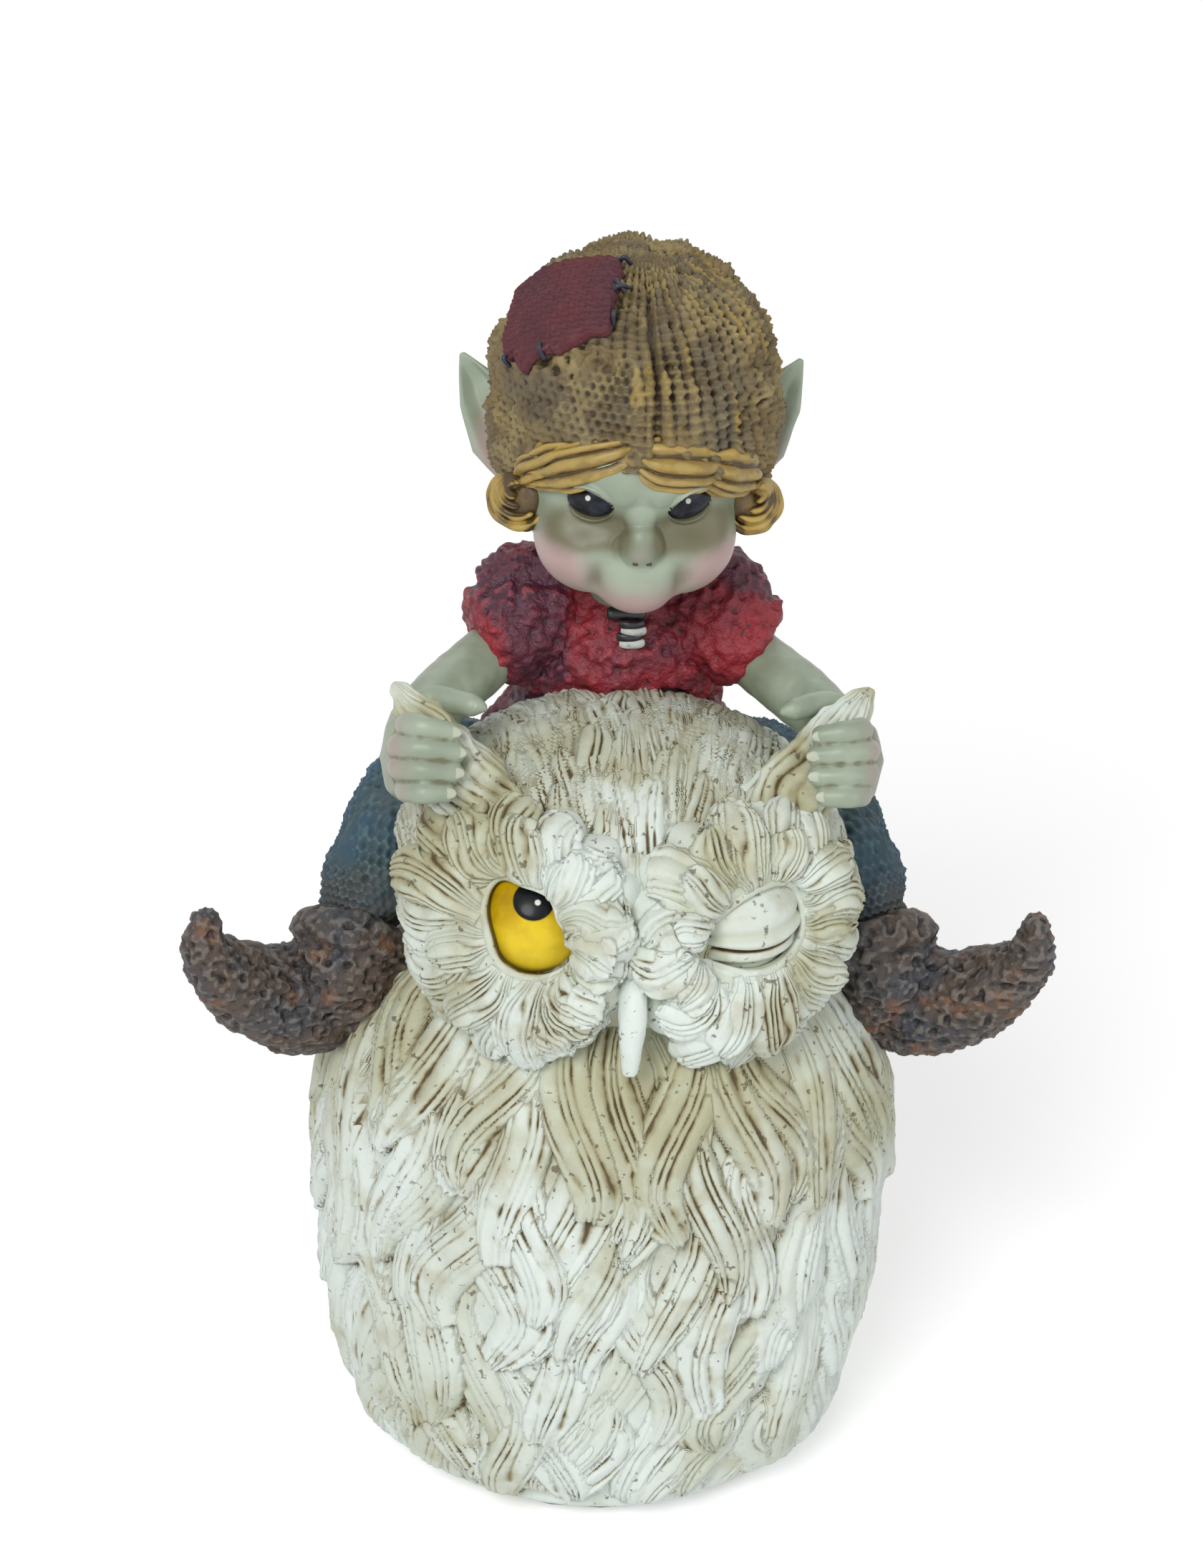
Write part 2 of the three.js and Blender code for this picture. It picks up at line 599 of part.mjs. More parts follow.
// From the back of the tunic down into the middle of the wall of the owl's back.
forms.pixie_seat_pin = (grow) => {
  const height = seatHeight - OWL_WALL / 3;
  const wallMiddle = (bodyRadius(height) + bodyRadius(height, -OWL_WALL)) / 2;
  const low = vec(0, wallMiddle * bodyDepthShare, height);
  return rod(tunicLevel(0.4).add(vec(0, TUNIC_DEPTH * 0.3, 0)), low, PIN_RADIUS, grow);
};

// Rider's legs and shoes

const kneeHeight = owlHeadCentre.z - KNEE_DROP;
const ankleHeight = kneeHeight - SHIN_DROP;
const kneeBack = owlHeadCentre.y + KNEE_BACK;
const hipBack = SEAT_BACK + LEG_RADIUS * 0.15;
const hip = (side) => vec((side * TUNIC_HEM_WIDTH) / 3, hipBack, seatHeight + LEG_RADIUS * 1.9);
const knee = (side) => vec(side * (OWL_HEAD_WIDTH / 2 + LEG_RADIUS * 0.23), kneeBack, kneeHeight);
const ankleOut = bodyRadius(ankleHeight) + LEG_RADIUS;
const ankle = (side) => vec(side * ankleOut, kneeBack - SHIN_FORWARD, ankleHeight);

function thigh(side) {
  const bulge = vec(side * 0.3, 0.45, 0.15).multiplyScalar(LEG_RADIUS);
  return hip(side).lerp(knee(side), 0.5).add(bulge);
}

function legForm(side) {
  const outward = vec(side * 0.8, 0.6, 0);
  return (grow) =>
    limb(
      [
        station(hip(side), LEG_RADIUS * 1.15, LEG_RADIUS * 1.15, outward),
        station(thigh(side), LEG_RADIUS * 1.15, LEG_RADIUS * 1.15, outward),
        station(knee(side), LEG_RADIUS * 1.05, LEG_RADIUS * 1.05, outward),
        station(ankle(side), LEG_RADIUS * 0.95, LEG_RADIUS * 0.95, outward),
      ],
      grow,
      LIMB_SIDES,
      12,
    );
}

const heelOut = SHOE_HEEL_RADIUS * 0.2;
const heel = (side) => ankle(side).add(vec(side * heelOut, heelOut, -SHOE_HEEL_DROP));

// A place along the shoe, by its share of the way out and of the way up.
function inShoe(side, share, rise) {
  return heel(side).add(vec(side * SHOE_LENGTH * share, -SHOE_FORWARD * share, SHOE_CURL * rise));
}

// A pointed shoe whose toe turns up, with a cuff that meets the end of the leg.
function shoeForm(side) {
  const cuffRadius = LEG_RADIUS * 0.95 + CUFF_WALL;
  const shinWay = knee(side).sub(ankle(side)).normalize();
  const belowAnkle = (drop) => ankle(side).addScaledVector(shinWay, -drop);
  const cuff = [
    station(heel(side), cuffRadius, cuffRadius, FRONT),
    station(belowAnkle(cuffRadius / 2), cuffRadius, cuffRadius, FRONT),
    station(belowAnkle(2 * GLUE_LINE), cuffRadius, cuffRadius, FRONT),
  ];
  return (grow) =>
    limb(
      [
        station(heel(side), SHOE_HEEL_RADIUS, SHOE_HEEL_RADIUS, FRONT),
        station(inShoe(side, 0.4, 0.14), SHOE_HEEL_RADIUS * 0.93, SHOE_HEEL_RADIUS * 0.93, FRONT),
        station(inShoe(side, 0.76, 0.38), SHOE_HEEL_RADIUS * 0.7, SHOE_HEEL_RADIUS * 0.7, FRONT),
        station(inShoe(side, 1, 0.71), SHOE_HEEL_RADIUS * 0.43, SHOE_HEEL_RADIUS * 0.43, FRONT),
        station(inShoe(side, 1, 1), SHOE_TOE_RADIUS, SHOE_TOE_RADIUS, FRONT),
      ],
      grow,
      LIMB_SIDES,
      12,
    ).add(limb(cuff, grow, LIMB_SIDES, 6));
}

// From the middle of the shin into the middle of the shoe.
const shoePin = (side) => (grow) => {
  const shin = ankle(side).lerp(knee(side), 0.5);
  return rod(shin, inShoe(side, 0.3, 0.1), PIN_RADIUS, grow);
};

// From the thigh into the owl's head.
const legPin = (side) => (grow) => {
  const outer = thigh(side);
  const way = owlHeadCentre.clone().sub(outer).normalize();
  return rod(outer, outer.clone().addScaledVector(way, PIN_LENGTH), PIN_RADIUS, grow);
};

// Rider's arms: each is one casting with its hand, whose fingers close round the ear tuft

const gripReach = TUFT_RADIUS * 0.75 + FINGER_RADIUS;

// A place in the grip, by how far it is outward, forward and up the stack of fingers.
const stackWay = vec(0, 0.45, 0.89).normalize();
const gripForward = vec(1, 0, 0).cross(stackWay);
function inGrip(side, out, ahead, high) {
  const place = tuft(side).at(0.48).add(vec(side * out, 0, 0));
  return place.addScaledVector(gripForward, ahead).addScaledVector(stackWay, high);
}

function hand(side, grow) {
  const place = (out, ahead, high) => inGrip(side, out * gripReach, ahead * gripReach, high);
  const outward = vec(side, 0, 0);
  const half = PALM_TALL / 2;
  const palm = [
    station(place(1, -0.2, -half), PALM_RADIUS * 0.75, PALM_RADIUS * 0.85, outward),
    station(place(1.1, -0.2, 0), PALM_RADIUS, PALM_RADIUS * 0.8, outward),
    station(place(1, -0.2, half), PALM_RADIUS * 0.75, PALM_RADIUS * 0.75, outward),
  ];
  const thumb = [
    station(place(0.8, -0.4, half), FINGER_RADIUS * 1.2),
    station(place(0.3, -0.6, half + FINGER_RADIUS), FINGER_RADIUS * 1.1),
    station(place(-0.8, 0, half + FINGER_RADIUS * 0.7), FINGER_RADIUS),
  ];
  const parts = [limb(palm, grow, 8, 6), limb(thumb, grow, FINGER_SIDES, FINGER_RINGS)];
  const pitch = (PALM_TALL - 2 * FINGER_RADIUS) / (FINGER_COUNT - 1);
  for (let i = 0; i < FINGER_COUNT; i++) {
    const up = half - FINGER_RADIUS - i * pitch;
    const finger = [
      station(place(1.1, 0.25, up), FINGER_RADIUS, FINGER_RADIUS, stackWay),
      station(place(1, 0.85, up - FINGER_RADIUS * 0.15), FINGER_RADIUS, FINGER_RADIUS, stackWay),
      station(place(0.5, 1.15, up - FINGER_RADIUS * 0.3), FINGER_RADIUS * 0.95, FINGER_RADIUS * 0.95, stackWay),
      station(place(-0.15, 1.1, up - FINGER_RADIUS * 0.5), FINGER_RADIUS * 0.85, FINGER_RADIUS * 0.85, stackWay),
    ];
    parts.push(limb(finger, grow, FINGER_SIDES, FINGER_RINGS));
  }
  return joined(parts);
}

// The middle line of an arm: the shoulder inside its sleeve, the elbow and the wrist.
function armLine(side) {
  const shoulder = sleeveMouth(side).add(vec(-side * SLEEVE_RADIUS * 0.6, SLEEVE_RADIUS * 0.3, 0));
  const wrist = inGrip(side, gripReach, -WRIST_RADIUS, PALM_TALL / 6);
  const elbow = shoulder.clone().lerp(wrist, 0.5).add(vec((side * ARM_RADIUS) / 3, 0, -ARM_RADIUS / 5));
  return { shoulder, elbow, wrist };
}

function armForm(side) {
  const { shoulder, elbow, wrist } = armLine(side);
  const stations = [station(shoulder, ARM_RADIUS), station(elbow, ARM_RADIUS), station(wrist, WRIST_RADIUS)];
  return (grow) => limb(stations, grow, 8, 6).add(hand(side, grow));
}

// Along the upper arm, from inside the sleeve.
const armPin = (side) => (grow) => {
  const { shoulder, elbow } = armLine(side);
  const way = elbow.clone().sub(shoulder).normalize();
  return rod(shoulder, shoulder.clone().addScaledVector(way, PIN_LENGTH), PIN_RADIUS, grow, 8);
};

// Rider's head

forms.pixie_head = (grow) => {
  const lump = (yaw, pitch, sink, radii) => ball(raised(onSkull(yaw, pitch), -sink), radii, grow, 12);
  const neck = limb(
    [
      station(tunicLevel(0.92), NECK_RADIUS),
      station(neckTop.clone().lerp(skullCentre, 0.25), NECK_RADIUS),
      station(neckTop.clone().lerp(skullCentre, 0.5), NECK_RADIUS),
    ],
    grow,
    LIMB_SIDES,
    8,
  );
  return joined([
    ball(skullCentre, skullRadii, grow),
    neck,
    lump(34, -24, CHEEK_RADIUS * 0.62, round(CHEEK_RADIUS)),
    lump(-34, -24, CHEEK_RADIUS * 0.62, round(CHEEK_RADIUS)),
    lump(0, -36, MUZZLE_RADIUS * 0.45, vec(MUZZLE_RADIUS, MUZZLE_RADIUS * 0.9, MUZZLE_RADIUS * 0.85)),
    lump(0, -13, 0, vec(NOSE_RADIUS, NOSE_RADIUS * 1.1, NOSE_RADIUS * 0.9)),
  ]);
};

forms.pixie_neck_pin = (grow) => {
  const middle = tunicLevel(0.92);
  return rod(
    middle.clone().add(vec(0, 0, -PIN_LENGTH / 2)),
    middle.clone().add(vec(0, 0, PIN_LENGTH / 2)),
    PIN_RADIUS,
    grow,
  );
};

function earForm(side) {
  const root = onSkull(side * 97, -10);
  const way = vec(side * 0.5, 0.32, 0.85).normalize();
  const facing = vec(side * 0.45, -0.85, 0.25).normalize();
  const at = (share) => raised(root, -EAR_THICKNESS * 0.3).addScaledVector(way, EAR_LENGTH * share);
  const half = EAR_WIDTH / 2;
  const thick = EAR_THICKNESS / 2;
  return (grow) =>
    limb(
      [
        station(at(-0.12), half * 0.6, thick, facing),
        station(at(0.3), half, thick, facing),
        station(at(0.65), half * 0.72, thick * 0.8, facing),
        station(at(1), half * 0.12, thick * 0.35, facing),
      ],
      grow,
      10,
      10,
    );
}

// Hair that shows below the hat: a parted fringe, a curl before each ear, and a roll round the nape.
function lockOfHair(places, radius, grow) {
  const stations = places.map(([yaw, pitch, share]) => {
    const spot = onSkull(yaw, pitch);
    return station(raised(spot, radius * 0.3), radius * share, radius * share * 0.8, spot.normal);
  });
  return limb(stations, grow, 10, 10);
}

const fringeHalf = (side) => [
  [-side * 6, 26, 0.6],
  [side * 20, 21, 1],
  [side * 46, 11, 1],
  [side * 66, 2, 0.6],
];
const napeRoll = [
  [88, -26, 0.6],
  [135, -34, 1],
  [180, -36, 1],
  [225, -34, 1],
  [272, -26, 0.6],
];
forms.pixie_fringe = (grow) =>
  lockOfHair(fringeHalf(1), FRINGE_RADIUS, grow).add(lockOfHair(fringeHalf(-1), FRINGE_RADIUS, grow));
forms.pixie_nape_hair = (grow) => lockOfHair(napeRoll, FRINGE_RADIUS, grow);

const curlForm = (side) => (grow) =>
  ball(raised(onSkull(side * 64, -7), CURL_RADIUS * 0.35), round(CURL_RADIUS), grow, 12);

// Hat

const hatDome = (grow) => ball(hatCentre, hatRadii, grow, BALL_SIDES);

// Everything below the hat's rim, which falls from the brow to the nape.
function belowRim(grow) {
  const slope = rad(HAT_RIM_SLOPE);
  const normal = vec(0, Math.sin(slope), Math.cos(slope));
  const brow = vec(0, skullCentre.y - SKULL_DEPTH / 2, skullCentre.z + HAT_RIM_HEIGHT);
  return block(brow.addScaledVector(normal, -FAR / 2 - grow), normal, vec(FAR, FAR, FAR));
}

forms.pixie_hat = (grow) => hatDome(grow).subtract(belowRim(grow));

forms.hat_patch = (grow) => {
  const spot = onBall(hatCentre, hatRadii, -58, 50);
  const window = block(spot.at, spot.normal, vec(PATCH_WIDTH, PATCH_TALL, HAT_TALL / 2), rad(PATCH_ROLL));
  return hatDome(PATCH_THICKNESS + GLUE_LINE + grow).intersect(window);
};

for (const [name, side] of Object.entries(SIDES)) {
  forms[`owl_wing_${name}`] = wingForm(side);
  forms[`owl_ruff_${name}`] = ruffForm(side);
  forms[`owl_ear_tuft_${name}`] = tuftForm(side);
  forms[`pixie_leg_${name}`] = legForm(side);
  forms[`leg_pin_${name}`] = legPin(side);
  forms[`pixie_shoe_${name}`] = shoeForm(side);
  forms[`shoe_pin_${name}`] = shoePin(side);
  forms[`pixie_arm_${name}`] = armForm(side);
  forms[`arm_pin_${name}`] = armPin(side);
  forms[`pixie_ear_${name}`] = earForm(side);
  forms[`pixie_curl_${name}`] = curlForm(side);
}

// Paints

const paint = (color, roughness, metalness = 0) =>
  new THREE.MeshStandardMaterial({ color, roughness, metalness });
const plumage = paint(0xdcdccb, 0.7);
const skin = paint(0xa3b39f, 0.35);
const redCloth = paint(0x7a2f36, 0.7);
const blueCloth = paint(0x46606b, 0.8);
const shoeBrown = paint(0x4a4038, 0.85);
const hatKnit = paint(0x7a6a45, 0.85);
const hair = paint(0xa98c3c, 0.6);
const patchWine = paint(0x5a3034, 0.85);
const eyeYellow = paint(0xc9b52e, 0.2);
const black = paint(0x22272a, 0.4);
const steel = paint(0x9a9da0, 0.35, 1);
const bareResin = paint(0xcfc9b6, 0.8);
const feltGreen = paint(0x3c4a3a, 0.95);

// Assembly: each casting in its paint, and what its seats are cut to fit

const owlShell = ["owl_body", "owl_head"];
const pins = ["owl_neck_pin", "pixie_seat_pin", "leg_pin_left", "leg_pin_right"];
const castings = [
  ["felt_pad", feltGreen, []],
  ["base_plate", bareResin, []],
  ["owl_body", plumage, ["owl_body_hollow", "base_plate", ...pins]],
  ["owl_neck_pin", steel, []],
  ["owl_head", plumage, ["owl_body", "owl_open_eye", "owl_shut_eye", ...pins]],
  ["owl_open_eye", eyeYellow, []],
  ["owl_upper_lid", plumage, []],
  ["owl_lower_lid", plumage, []],
  ["owl_ruff_left", plumage, ["owl_head", "owl_body", "owl_shut_eye"]],
  ["owl_ruff_right", plumage, ["owl_head", "owl_body", "owl_open_eye", "owl_ruff_left"]],
  ["owl_beak", plumage, [...owlShell, "owl_ruff_left", "owl_ruff_right"]],
  ["owl_tail", plumage, ["owl_body", "felt_pad"]],
  ["pixie_seat_pin", steel, []],
];

for (const name of Object.keys(SIDES)) {
  castings.push(
    [`owl_ear_tuft_${name}`, plumage, [...owlShell, `owl_ruff_${name}`]],
    [`owl_wing_${name}`, plumage, ["owl_body", "owl_tail"]],
    [`leg_pin_${name}`, steel, []],
    [`shoe_pin_${name}`, steel, []],
    [`arm_pin_${name}`, steel, []],
    [`pixie_leg_${name}`, blueCloth, [...owlShell, `owl_ruff_${name}`, `owl_wing_${name}`,
      `owl_ear_tuft_${name}`, `leg_pin_${name}`, `shoe_pin_${name}`]],
    [`pixie_shoe_${name}`, shoeBrown, [...owlShell, `owl_ruff_${name}`, `owl_wing_${name}`,
      `pixie_leg_${name}`, `shoe_pin_${name}`]],
  );
}

castings.push(
  ["pixie_tunic", redCloth, [...owlShell, ...pins, "pixie_leg_left", "pixie_leg_right", "arm_pin_left",
    "arm_pin_right", "pixie_neck_pin", "tunic_toggle"]],
  ["tunic_toggle", black, []],
  ["pixie_neck_pin", steel, []],
  ["pixie_head", skin, ["pixie_tunic", "tunic_toggle", "pixie_neck_pin"]],
  ["pixie_fringe", hair, ["pixie_head"]],
  ["pixie_nape_hair", hair, ["pixie_head", "pixie_tunic"]],
);

for (const name of Object.keys(SIDES)) {
  castings.push(
    [`pixie_arm_${name}`, skin, ["owl_head", `owl_ear_tuft_${name}`, `owl_ruff_${name}`, `pixie_leg_${name}`,
      "pixie_tunic", `arm_pin_${name}`]],
    [`pixie_curl_${name}`, hair, ["pixie_head", "pixie_fringe", "pixie_nape_hair", "pixie_tunic"]],
    [`pixie_ear_${name}`, skin, ["pixie_head", `pixie_curl_${name}`, "pixie_nape_hair", "pixie_fringe"]],
  );
}

castings.push(
  ["pixie_hat", hatKnit, ["pixie_head", "pixie_fringe", "pixie_nape_hair", "pixie_curl_left",
    "pixie_curl_right", "pixie_ear_left", "pixie_ear_right", "pixie_tunic"]],
  ["hat_patch", patchWine, ["pixie_hat"]],
);

function meshOf(name, solid, material) {
  const made = solid.getMesh();
  const geometry = new THREE.BufferGeometry();
  geometry.setAttribute("position", new THREE.BufferAttribute(made.vertProperties, made.numProp));
  geometry.setIndex(new THREE.BufferAttribute(made.triVerts, 1));
  geometry.computeVertexNormals();
  const mesh = new THREE.Mesh(geometry, material.clone());
  mesh.name = name;
  return mesh;
}

const figurine = new THREE.Group();
for (const [name, material, seats] of castings) {
  const solid = seats.reduce((left, seat) => left.subtract(forms[seat](GLUE_LINE)), forms[name](0));
  figurine.add(meshOf(name, mainLump(solid), material));
}

export default figurine;
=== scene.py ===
import math

import bmesh
import bpy
import numpy as np
from mathutils import Matrix, Vector


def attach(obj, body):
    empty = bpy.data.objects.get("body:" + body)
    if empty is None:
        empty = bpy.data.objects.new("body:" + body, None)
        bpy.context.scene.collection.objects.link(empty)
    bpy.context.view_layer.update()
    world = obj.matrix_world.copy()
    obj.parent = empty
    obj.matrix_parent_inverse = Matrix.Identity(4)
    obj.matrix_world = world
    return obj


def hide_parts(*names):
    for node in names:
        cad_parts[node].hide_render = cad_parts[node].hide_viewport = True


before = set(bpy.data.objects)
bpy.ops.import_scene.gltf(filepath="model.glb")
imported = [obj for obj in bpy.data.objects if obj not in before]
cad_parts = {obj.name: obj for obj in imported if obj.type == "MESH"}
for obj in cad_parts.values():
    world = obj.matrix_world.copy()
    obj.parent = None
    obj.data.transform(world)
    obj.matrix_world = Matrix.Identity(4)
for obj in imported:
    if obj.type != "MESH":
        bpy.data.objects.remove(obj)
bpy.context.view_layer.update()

mm = 0.001  # places and sizes below are in millimetres, meshes in metres
rng = np.random.default_rng(23)
latticeValues = rng.uniform(-1, 1, 4096)
sides = {"left": 1, "right": -1}  # the figure's own left is +X, and it faces -Y


# Small sums on points

def vec(x, y, z):
    return np.array([x, y, z], float)


upward, front, rear = vec(0, 0, 1), vec(0, -1, 0), vec(0, 1, 0)


def unit(v):
    return v / np.maximum(np.linalg.norm(v, axis=-1, keepdims=True), 1e-9)


def smoothStep(low, high, x):
    t = np.clip((x - low) / (high - low), 0, 1)
    return t * t * (3 - 2 * t)


def bump(x, middle, width):  # 1 at the middle, falling away on both sides
    return np.exp(-(((x - middle) / width) ** 2))


def spot(x, y, atX, atY, wide, tall):  # 1 in the middle of an oval, falling away all round
    return bump(np.hypot((x - atX) / wide, (y - atY) / tall), 0, 1)


def lerp(a, b, t):
    return a + (b - a) * t


def turned(x, y, degrees):  # two axes turned in their own plane
    c, s = math.cos(math.radians(degrees)), math.sin(math.radians(degrees))
    return x * c + y * s, y * c - x * s


def tangents(normal):  # the level axis and the rising axis of a surface
    level = unit(np.cross(upward, normal))
    return level, np.cross(normal, level)


def onBall(centre, radii, yaw, pitch):  # a place on an ellipsoid and the way it faces
    yaw, pitch = np.radians(yaw), np.radians(pitch)
    level = np.cos(pitch)
    way = np.stack([np.sin(yaw) * level, -np.cos(yaw) * level, np.sin(pitch) + 0 * yaw], -1)
    return centre + way * radii, unit(way / radii)


def curveAt(points, along):  # a smooth curve through the points, and its direction
    points = np.asarray(points, float)
    padded = np.vstack([2 * points[0] - points[1], points, 2 * points[-1] - points[-2]])
    span = np.clip(along, 0, 1) * (len(points) - 1)
    first = np.minimum(span.astype(int), len(points) - 2)
    w = (span - first)[:, None]
    p0, p1, p2, p3 = (padded[first + k] for k in range(4))
    d0, d1, d2 = (np.sqrt(np.linalg.norm(b - a, axis=1))[:, None] for a, b in ((p0, p1), (p1, p2), (p2, p3)))
    t1 = ((p1 - p0) / d0 - (p2 - p0) / (d0 + d1) + (p2 - p1) / d1) * d1
    t2 = ((p2 - p1) / d1 - (p3 - p1) / (d1 + d2) + (p3 - p2) / d2) * d1
    a = 2 * p1 - 2 * p2 + t1 + t2
    b = 3 * p2 - 3 * p1 - 2 * t1 - t2
    return p1 + t1 * w + b * w**2 + a * w**3, unit(t1 + 2 * b * w + 3 * a * w**2)


def grain(points, size, seed=0.0):  # smooth noise from -1 to 1, with lumps of a size
    cell = points / size + seed
    base = np.floor(cell).astype(np.int64)
    f = cell - base
    f = f * f * (3 - 2 * f)
    total = np.zeros(len(points))
    for corner in np.ndindex(2, 2, 2):
        at = (base + corner) * (73856093, 19349663, 83492791)
        weight = np.where(corner, f, 1 - f).prod(1)
        total += weight * latticeValues[(at[:, 0] ^ at[:, 1] ^ at[:, 2]) & 4095]
    return total * 1.3


def rough(points, layers):  # grain of several depths, each with its size and seed
    return sum(depth * grain(points, *size) for depth, *size in layers)


def hashed(number, kind):  # a number from -1 to 1 that looks drawn by lot
    return np.sin(number * 12.9898 + kind * 78.233)


# Surfaces

class Shape:  # a closed surface in millimetres, with numbers at its vertices that the paints read by name
    def __init__(self, bm):
        self.mesh = bpy.data.meshes.new("shape")
        bmesh.ops.recalc_face_normals(bm, faces=bm.faces)
        bm.to_mesh(self.mesh)
        bm.free()
        self.points = self.read(self.mesh.vertices, "co", 3).astype(float)
        self.pairs = self.read(self.mesh.edges, "vertices", 2, np.int32)

    def read(self, items, key, width, kind=np.float32):
        flat = np.empty(width * len(items), kind)
        items.foreach_get(key, flat)
        return flat.reshape(-1, width)

    def move(self, points):
        self.points = points
        self.mesh.vertices.foreach_set("co", points.astype(np.float32).ravel())
        self.mesh.update()
        self.mesh.calc_loop_triangles()
        a, b, c = points[self.read(self.mesh.loop_triangles, "vertices", 3, np.int32).T]
        if (a * np.cross(b, c)).sum() < 0:  # inside out
            self.mesh.flip_normals()
            self.mesh.update()
        return self

    def facing(self):
        return self.read(self.mesh.vertex_normals, "vector", 3).astype(float)

    def lift(self, height):
        return self.move(self.points + self.facing() * np.reshape(height, (-1, 1)))

    def traits(self, **values):
        for name, value in values.items():
            value = np.broadcast_to(np.asarray(value, np.float32), len(self.points))
            store = self.mesh.attributes.get(name) or self.mesh.attributes.new(name, "FLOAT", "POINT")
            store.data.foreach_set("value", np.ascontiguousarray(value))
        return self

    def spread(self, values, rounds):  # each round averages a value with its neighbours
        a, b = self.pairs.T
        size = len(self.points)
        count = np.maximum(np.bincount(a, minlength=size) + np.bincount(b, minlength=size), 1)
        for _ in range(rounds):
            total = np.bincount(a, values[b], size) + np.bincount(b, values[a], size)
            values = 0.5 * values + 0.5 * total / count
        return values

    def sunken(self, relief, rounds):  # how far the relief lies below its neighbours
        return self.spread(relief, rounds) - relief

    def hollows(self, rounds):  # how far each vertex lies below the smoothed surface
        smooth = np.stack([self.spread(self.points[:, k], rounds) for k in range(3)], 1)
        return ((smooth - self.points) * self.facing()).sum(1)

    def groove(self, depth, rounds):  # 1 in a hollow, 0 on a ridge
        return self.traits(groove=np.clip(0.4 + self.hollows(rounds) / depth, 0, 1))

    def add(self, name, paint, slot, *nodes):
        self.mesh.vertices.foreach_set("co", (self.points * mm).astype(np.float32).ravel())
        self.mesh.shade_smooth()
        self.mesh.update()
        self.mesh.name = name
        self.mesh.materials.append(paint)
        piece = bpy.data.objects.new(name, self.mesh)
        bpy.context.scene.collection.objects.link(piece)
        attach(piece, "root")
        if nodes:
            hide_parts(*nodes)
        return piece


def joined(shapes):
    bm = bmesh.new()
    for shape in shapes:
        bm.from_mesh(shape.mesh)
        bpy.data.meshes.remove(shape.mesh)
    return Shape(bm)


def ballGrid(around, rings):  # a sphere, with the turn and the drop from pole to pole of each vertex
    bm = bmesh.new()
    bmesh.ops.create_grid(bm, x_segments=around, y_segments=rings, size=1)
    for v in bm.verts:  # the grid is rolled up, then its seam and its poles are welded
        turn, drop = math.pi * v.co.x, math.pi * (1 - v.co.y) / 2
        v.co = (math.cos(turn) * math.sin(drop), math.sin(turn) * math.sin(drop), math.cos(drop))
    bmesh.ops.remove_doubles(bm, verts=[v for v in bm.verts if v.is_boundary], dist=1e-6)
    shape = Shape(bm)
    p = shape.points
    return shape, np.arctan2(p[:, 1], p[:, 0]), np.arctan2(np.hypot(p[:, 0], p[:, 1]), p[:, 2]) / math.pi


def station(at, wide, thick=None, facing=upward):  # a stop on a limb, with its half width and half thickness
    return dict(at=at, wide=wide, thick=thick or wide, facing=np.array(facing, float))


def stops(places, facing=upward, flat=1):  # stations from places and girths
    return [station(at, girth, girth * flat, facing) for at, girth in places]


def limbPlaces(stations, along, turn, squareness=5):
    place, tangent = curveAt([s["at"] for s in stations], along)
    span = np.clip(along, 0, 1) * (len(stations) - 1)
    first = np.minimum(span.astype(int), len(stations) - 2)
    share = span - first
    size = {}
    for key in ("wide", "thick", "facing"):
        table = np.array([s[key] for s in stations], float)
        size[key] = lerp(table[first], table[first + 1], share[:, None] if table.ndim > 1 else share)
    side = unit(np.cross(size["facing"], tangent))
    ahead = np.cross(tangent, side)
    dome = (1 - np.abs(1 - 2 * along) ** squareness) ** (1 / squareness)
    offset = side * (np.cos(turn) * dome * size["wide"])[:, None]
    return place + offset + ahead * (np.sin(turn) * dome * size["thick"])[:, None]


def limb(stations, around, rings, squareness=5):  # a form that swells and tapers along a curve
    shape, turn, drop = ballGrid(around, rings)
    along = 0.55 * drop + 0.45 * (1 - np.cos(drop * math.pi)) / 2  # the rings crowd towards the ends
    shape.move(limbPlaces(stations, along, turn, squareness))
    return shape, along, turn


def form(stations, around, rings, squareness=5):
    return limb(stations, around, rings, squareness)[0]


def fuse(shapes, voxel, smoothing):  # several closed forms as one skin
    whole = joined(shapes)
    holder = bpy.data.objects.new("fusing", whole.mesh)
    bpy.context.scene.collection.objects.link(holder)
    skin = holder.modifiers.new("Skin", "REMESH")
    skin.mode = "VOXEL"
    skin.voxel_size = voxel
    ease = holder.modifiers.new("Ease", "SMOOTH")
    ease.iterations = smoothing
    bpy.context.view_layer.update()
    made = bpy.data.meshes.new_from_object(holder.evaluated_get(bpy.context.evaluated_depsgraph_get()))
    bm = bmesh.new()
    bm.from_mesh(made)
    bpy.data.objects.remove(holder)
    bpy.data.meshes.remove(whole.mesh)
    bpy.data.meshes.remove(made)
    return Shape(bm)


# Paints

def srgb(*levels):
    linear = [c / 12.92 if c <= 0.04045 else ((c + 0.055) / 1.055) ** 2.4 for c in (level / 255 for level in levels)]
    return (*linear, 1.0)


class Tint:  # what a node gives, with sums on it
    def __init__(self, paint, socket):
        self.paint = paint
        self.socket = socket

    def __add__(self, other):
        return self.paint.sum("ADD", self, other)

    def __radd__(self, other):
        return self.paint.sum("ADD", other, self)

    def __sub__(self, other):
        return self.paint.sum("SUBTRACT", self, other)

    def __rsub__(self, other):
        return self.paint.sum("SUBTRACT", other, self)

    def __mul__(self, other):
        return self.paint.sum("MULTIPLY", self, other)

    def __rmul__(self, other):
        return self.paint.sum("MULTIPLY", other, self)


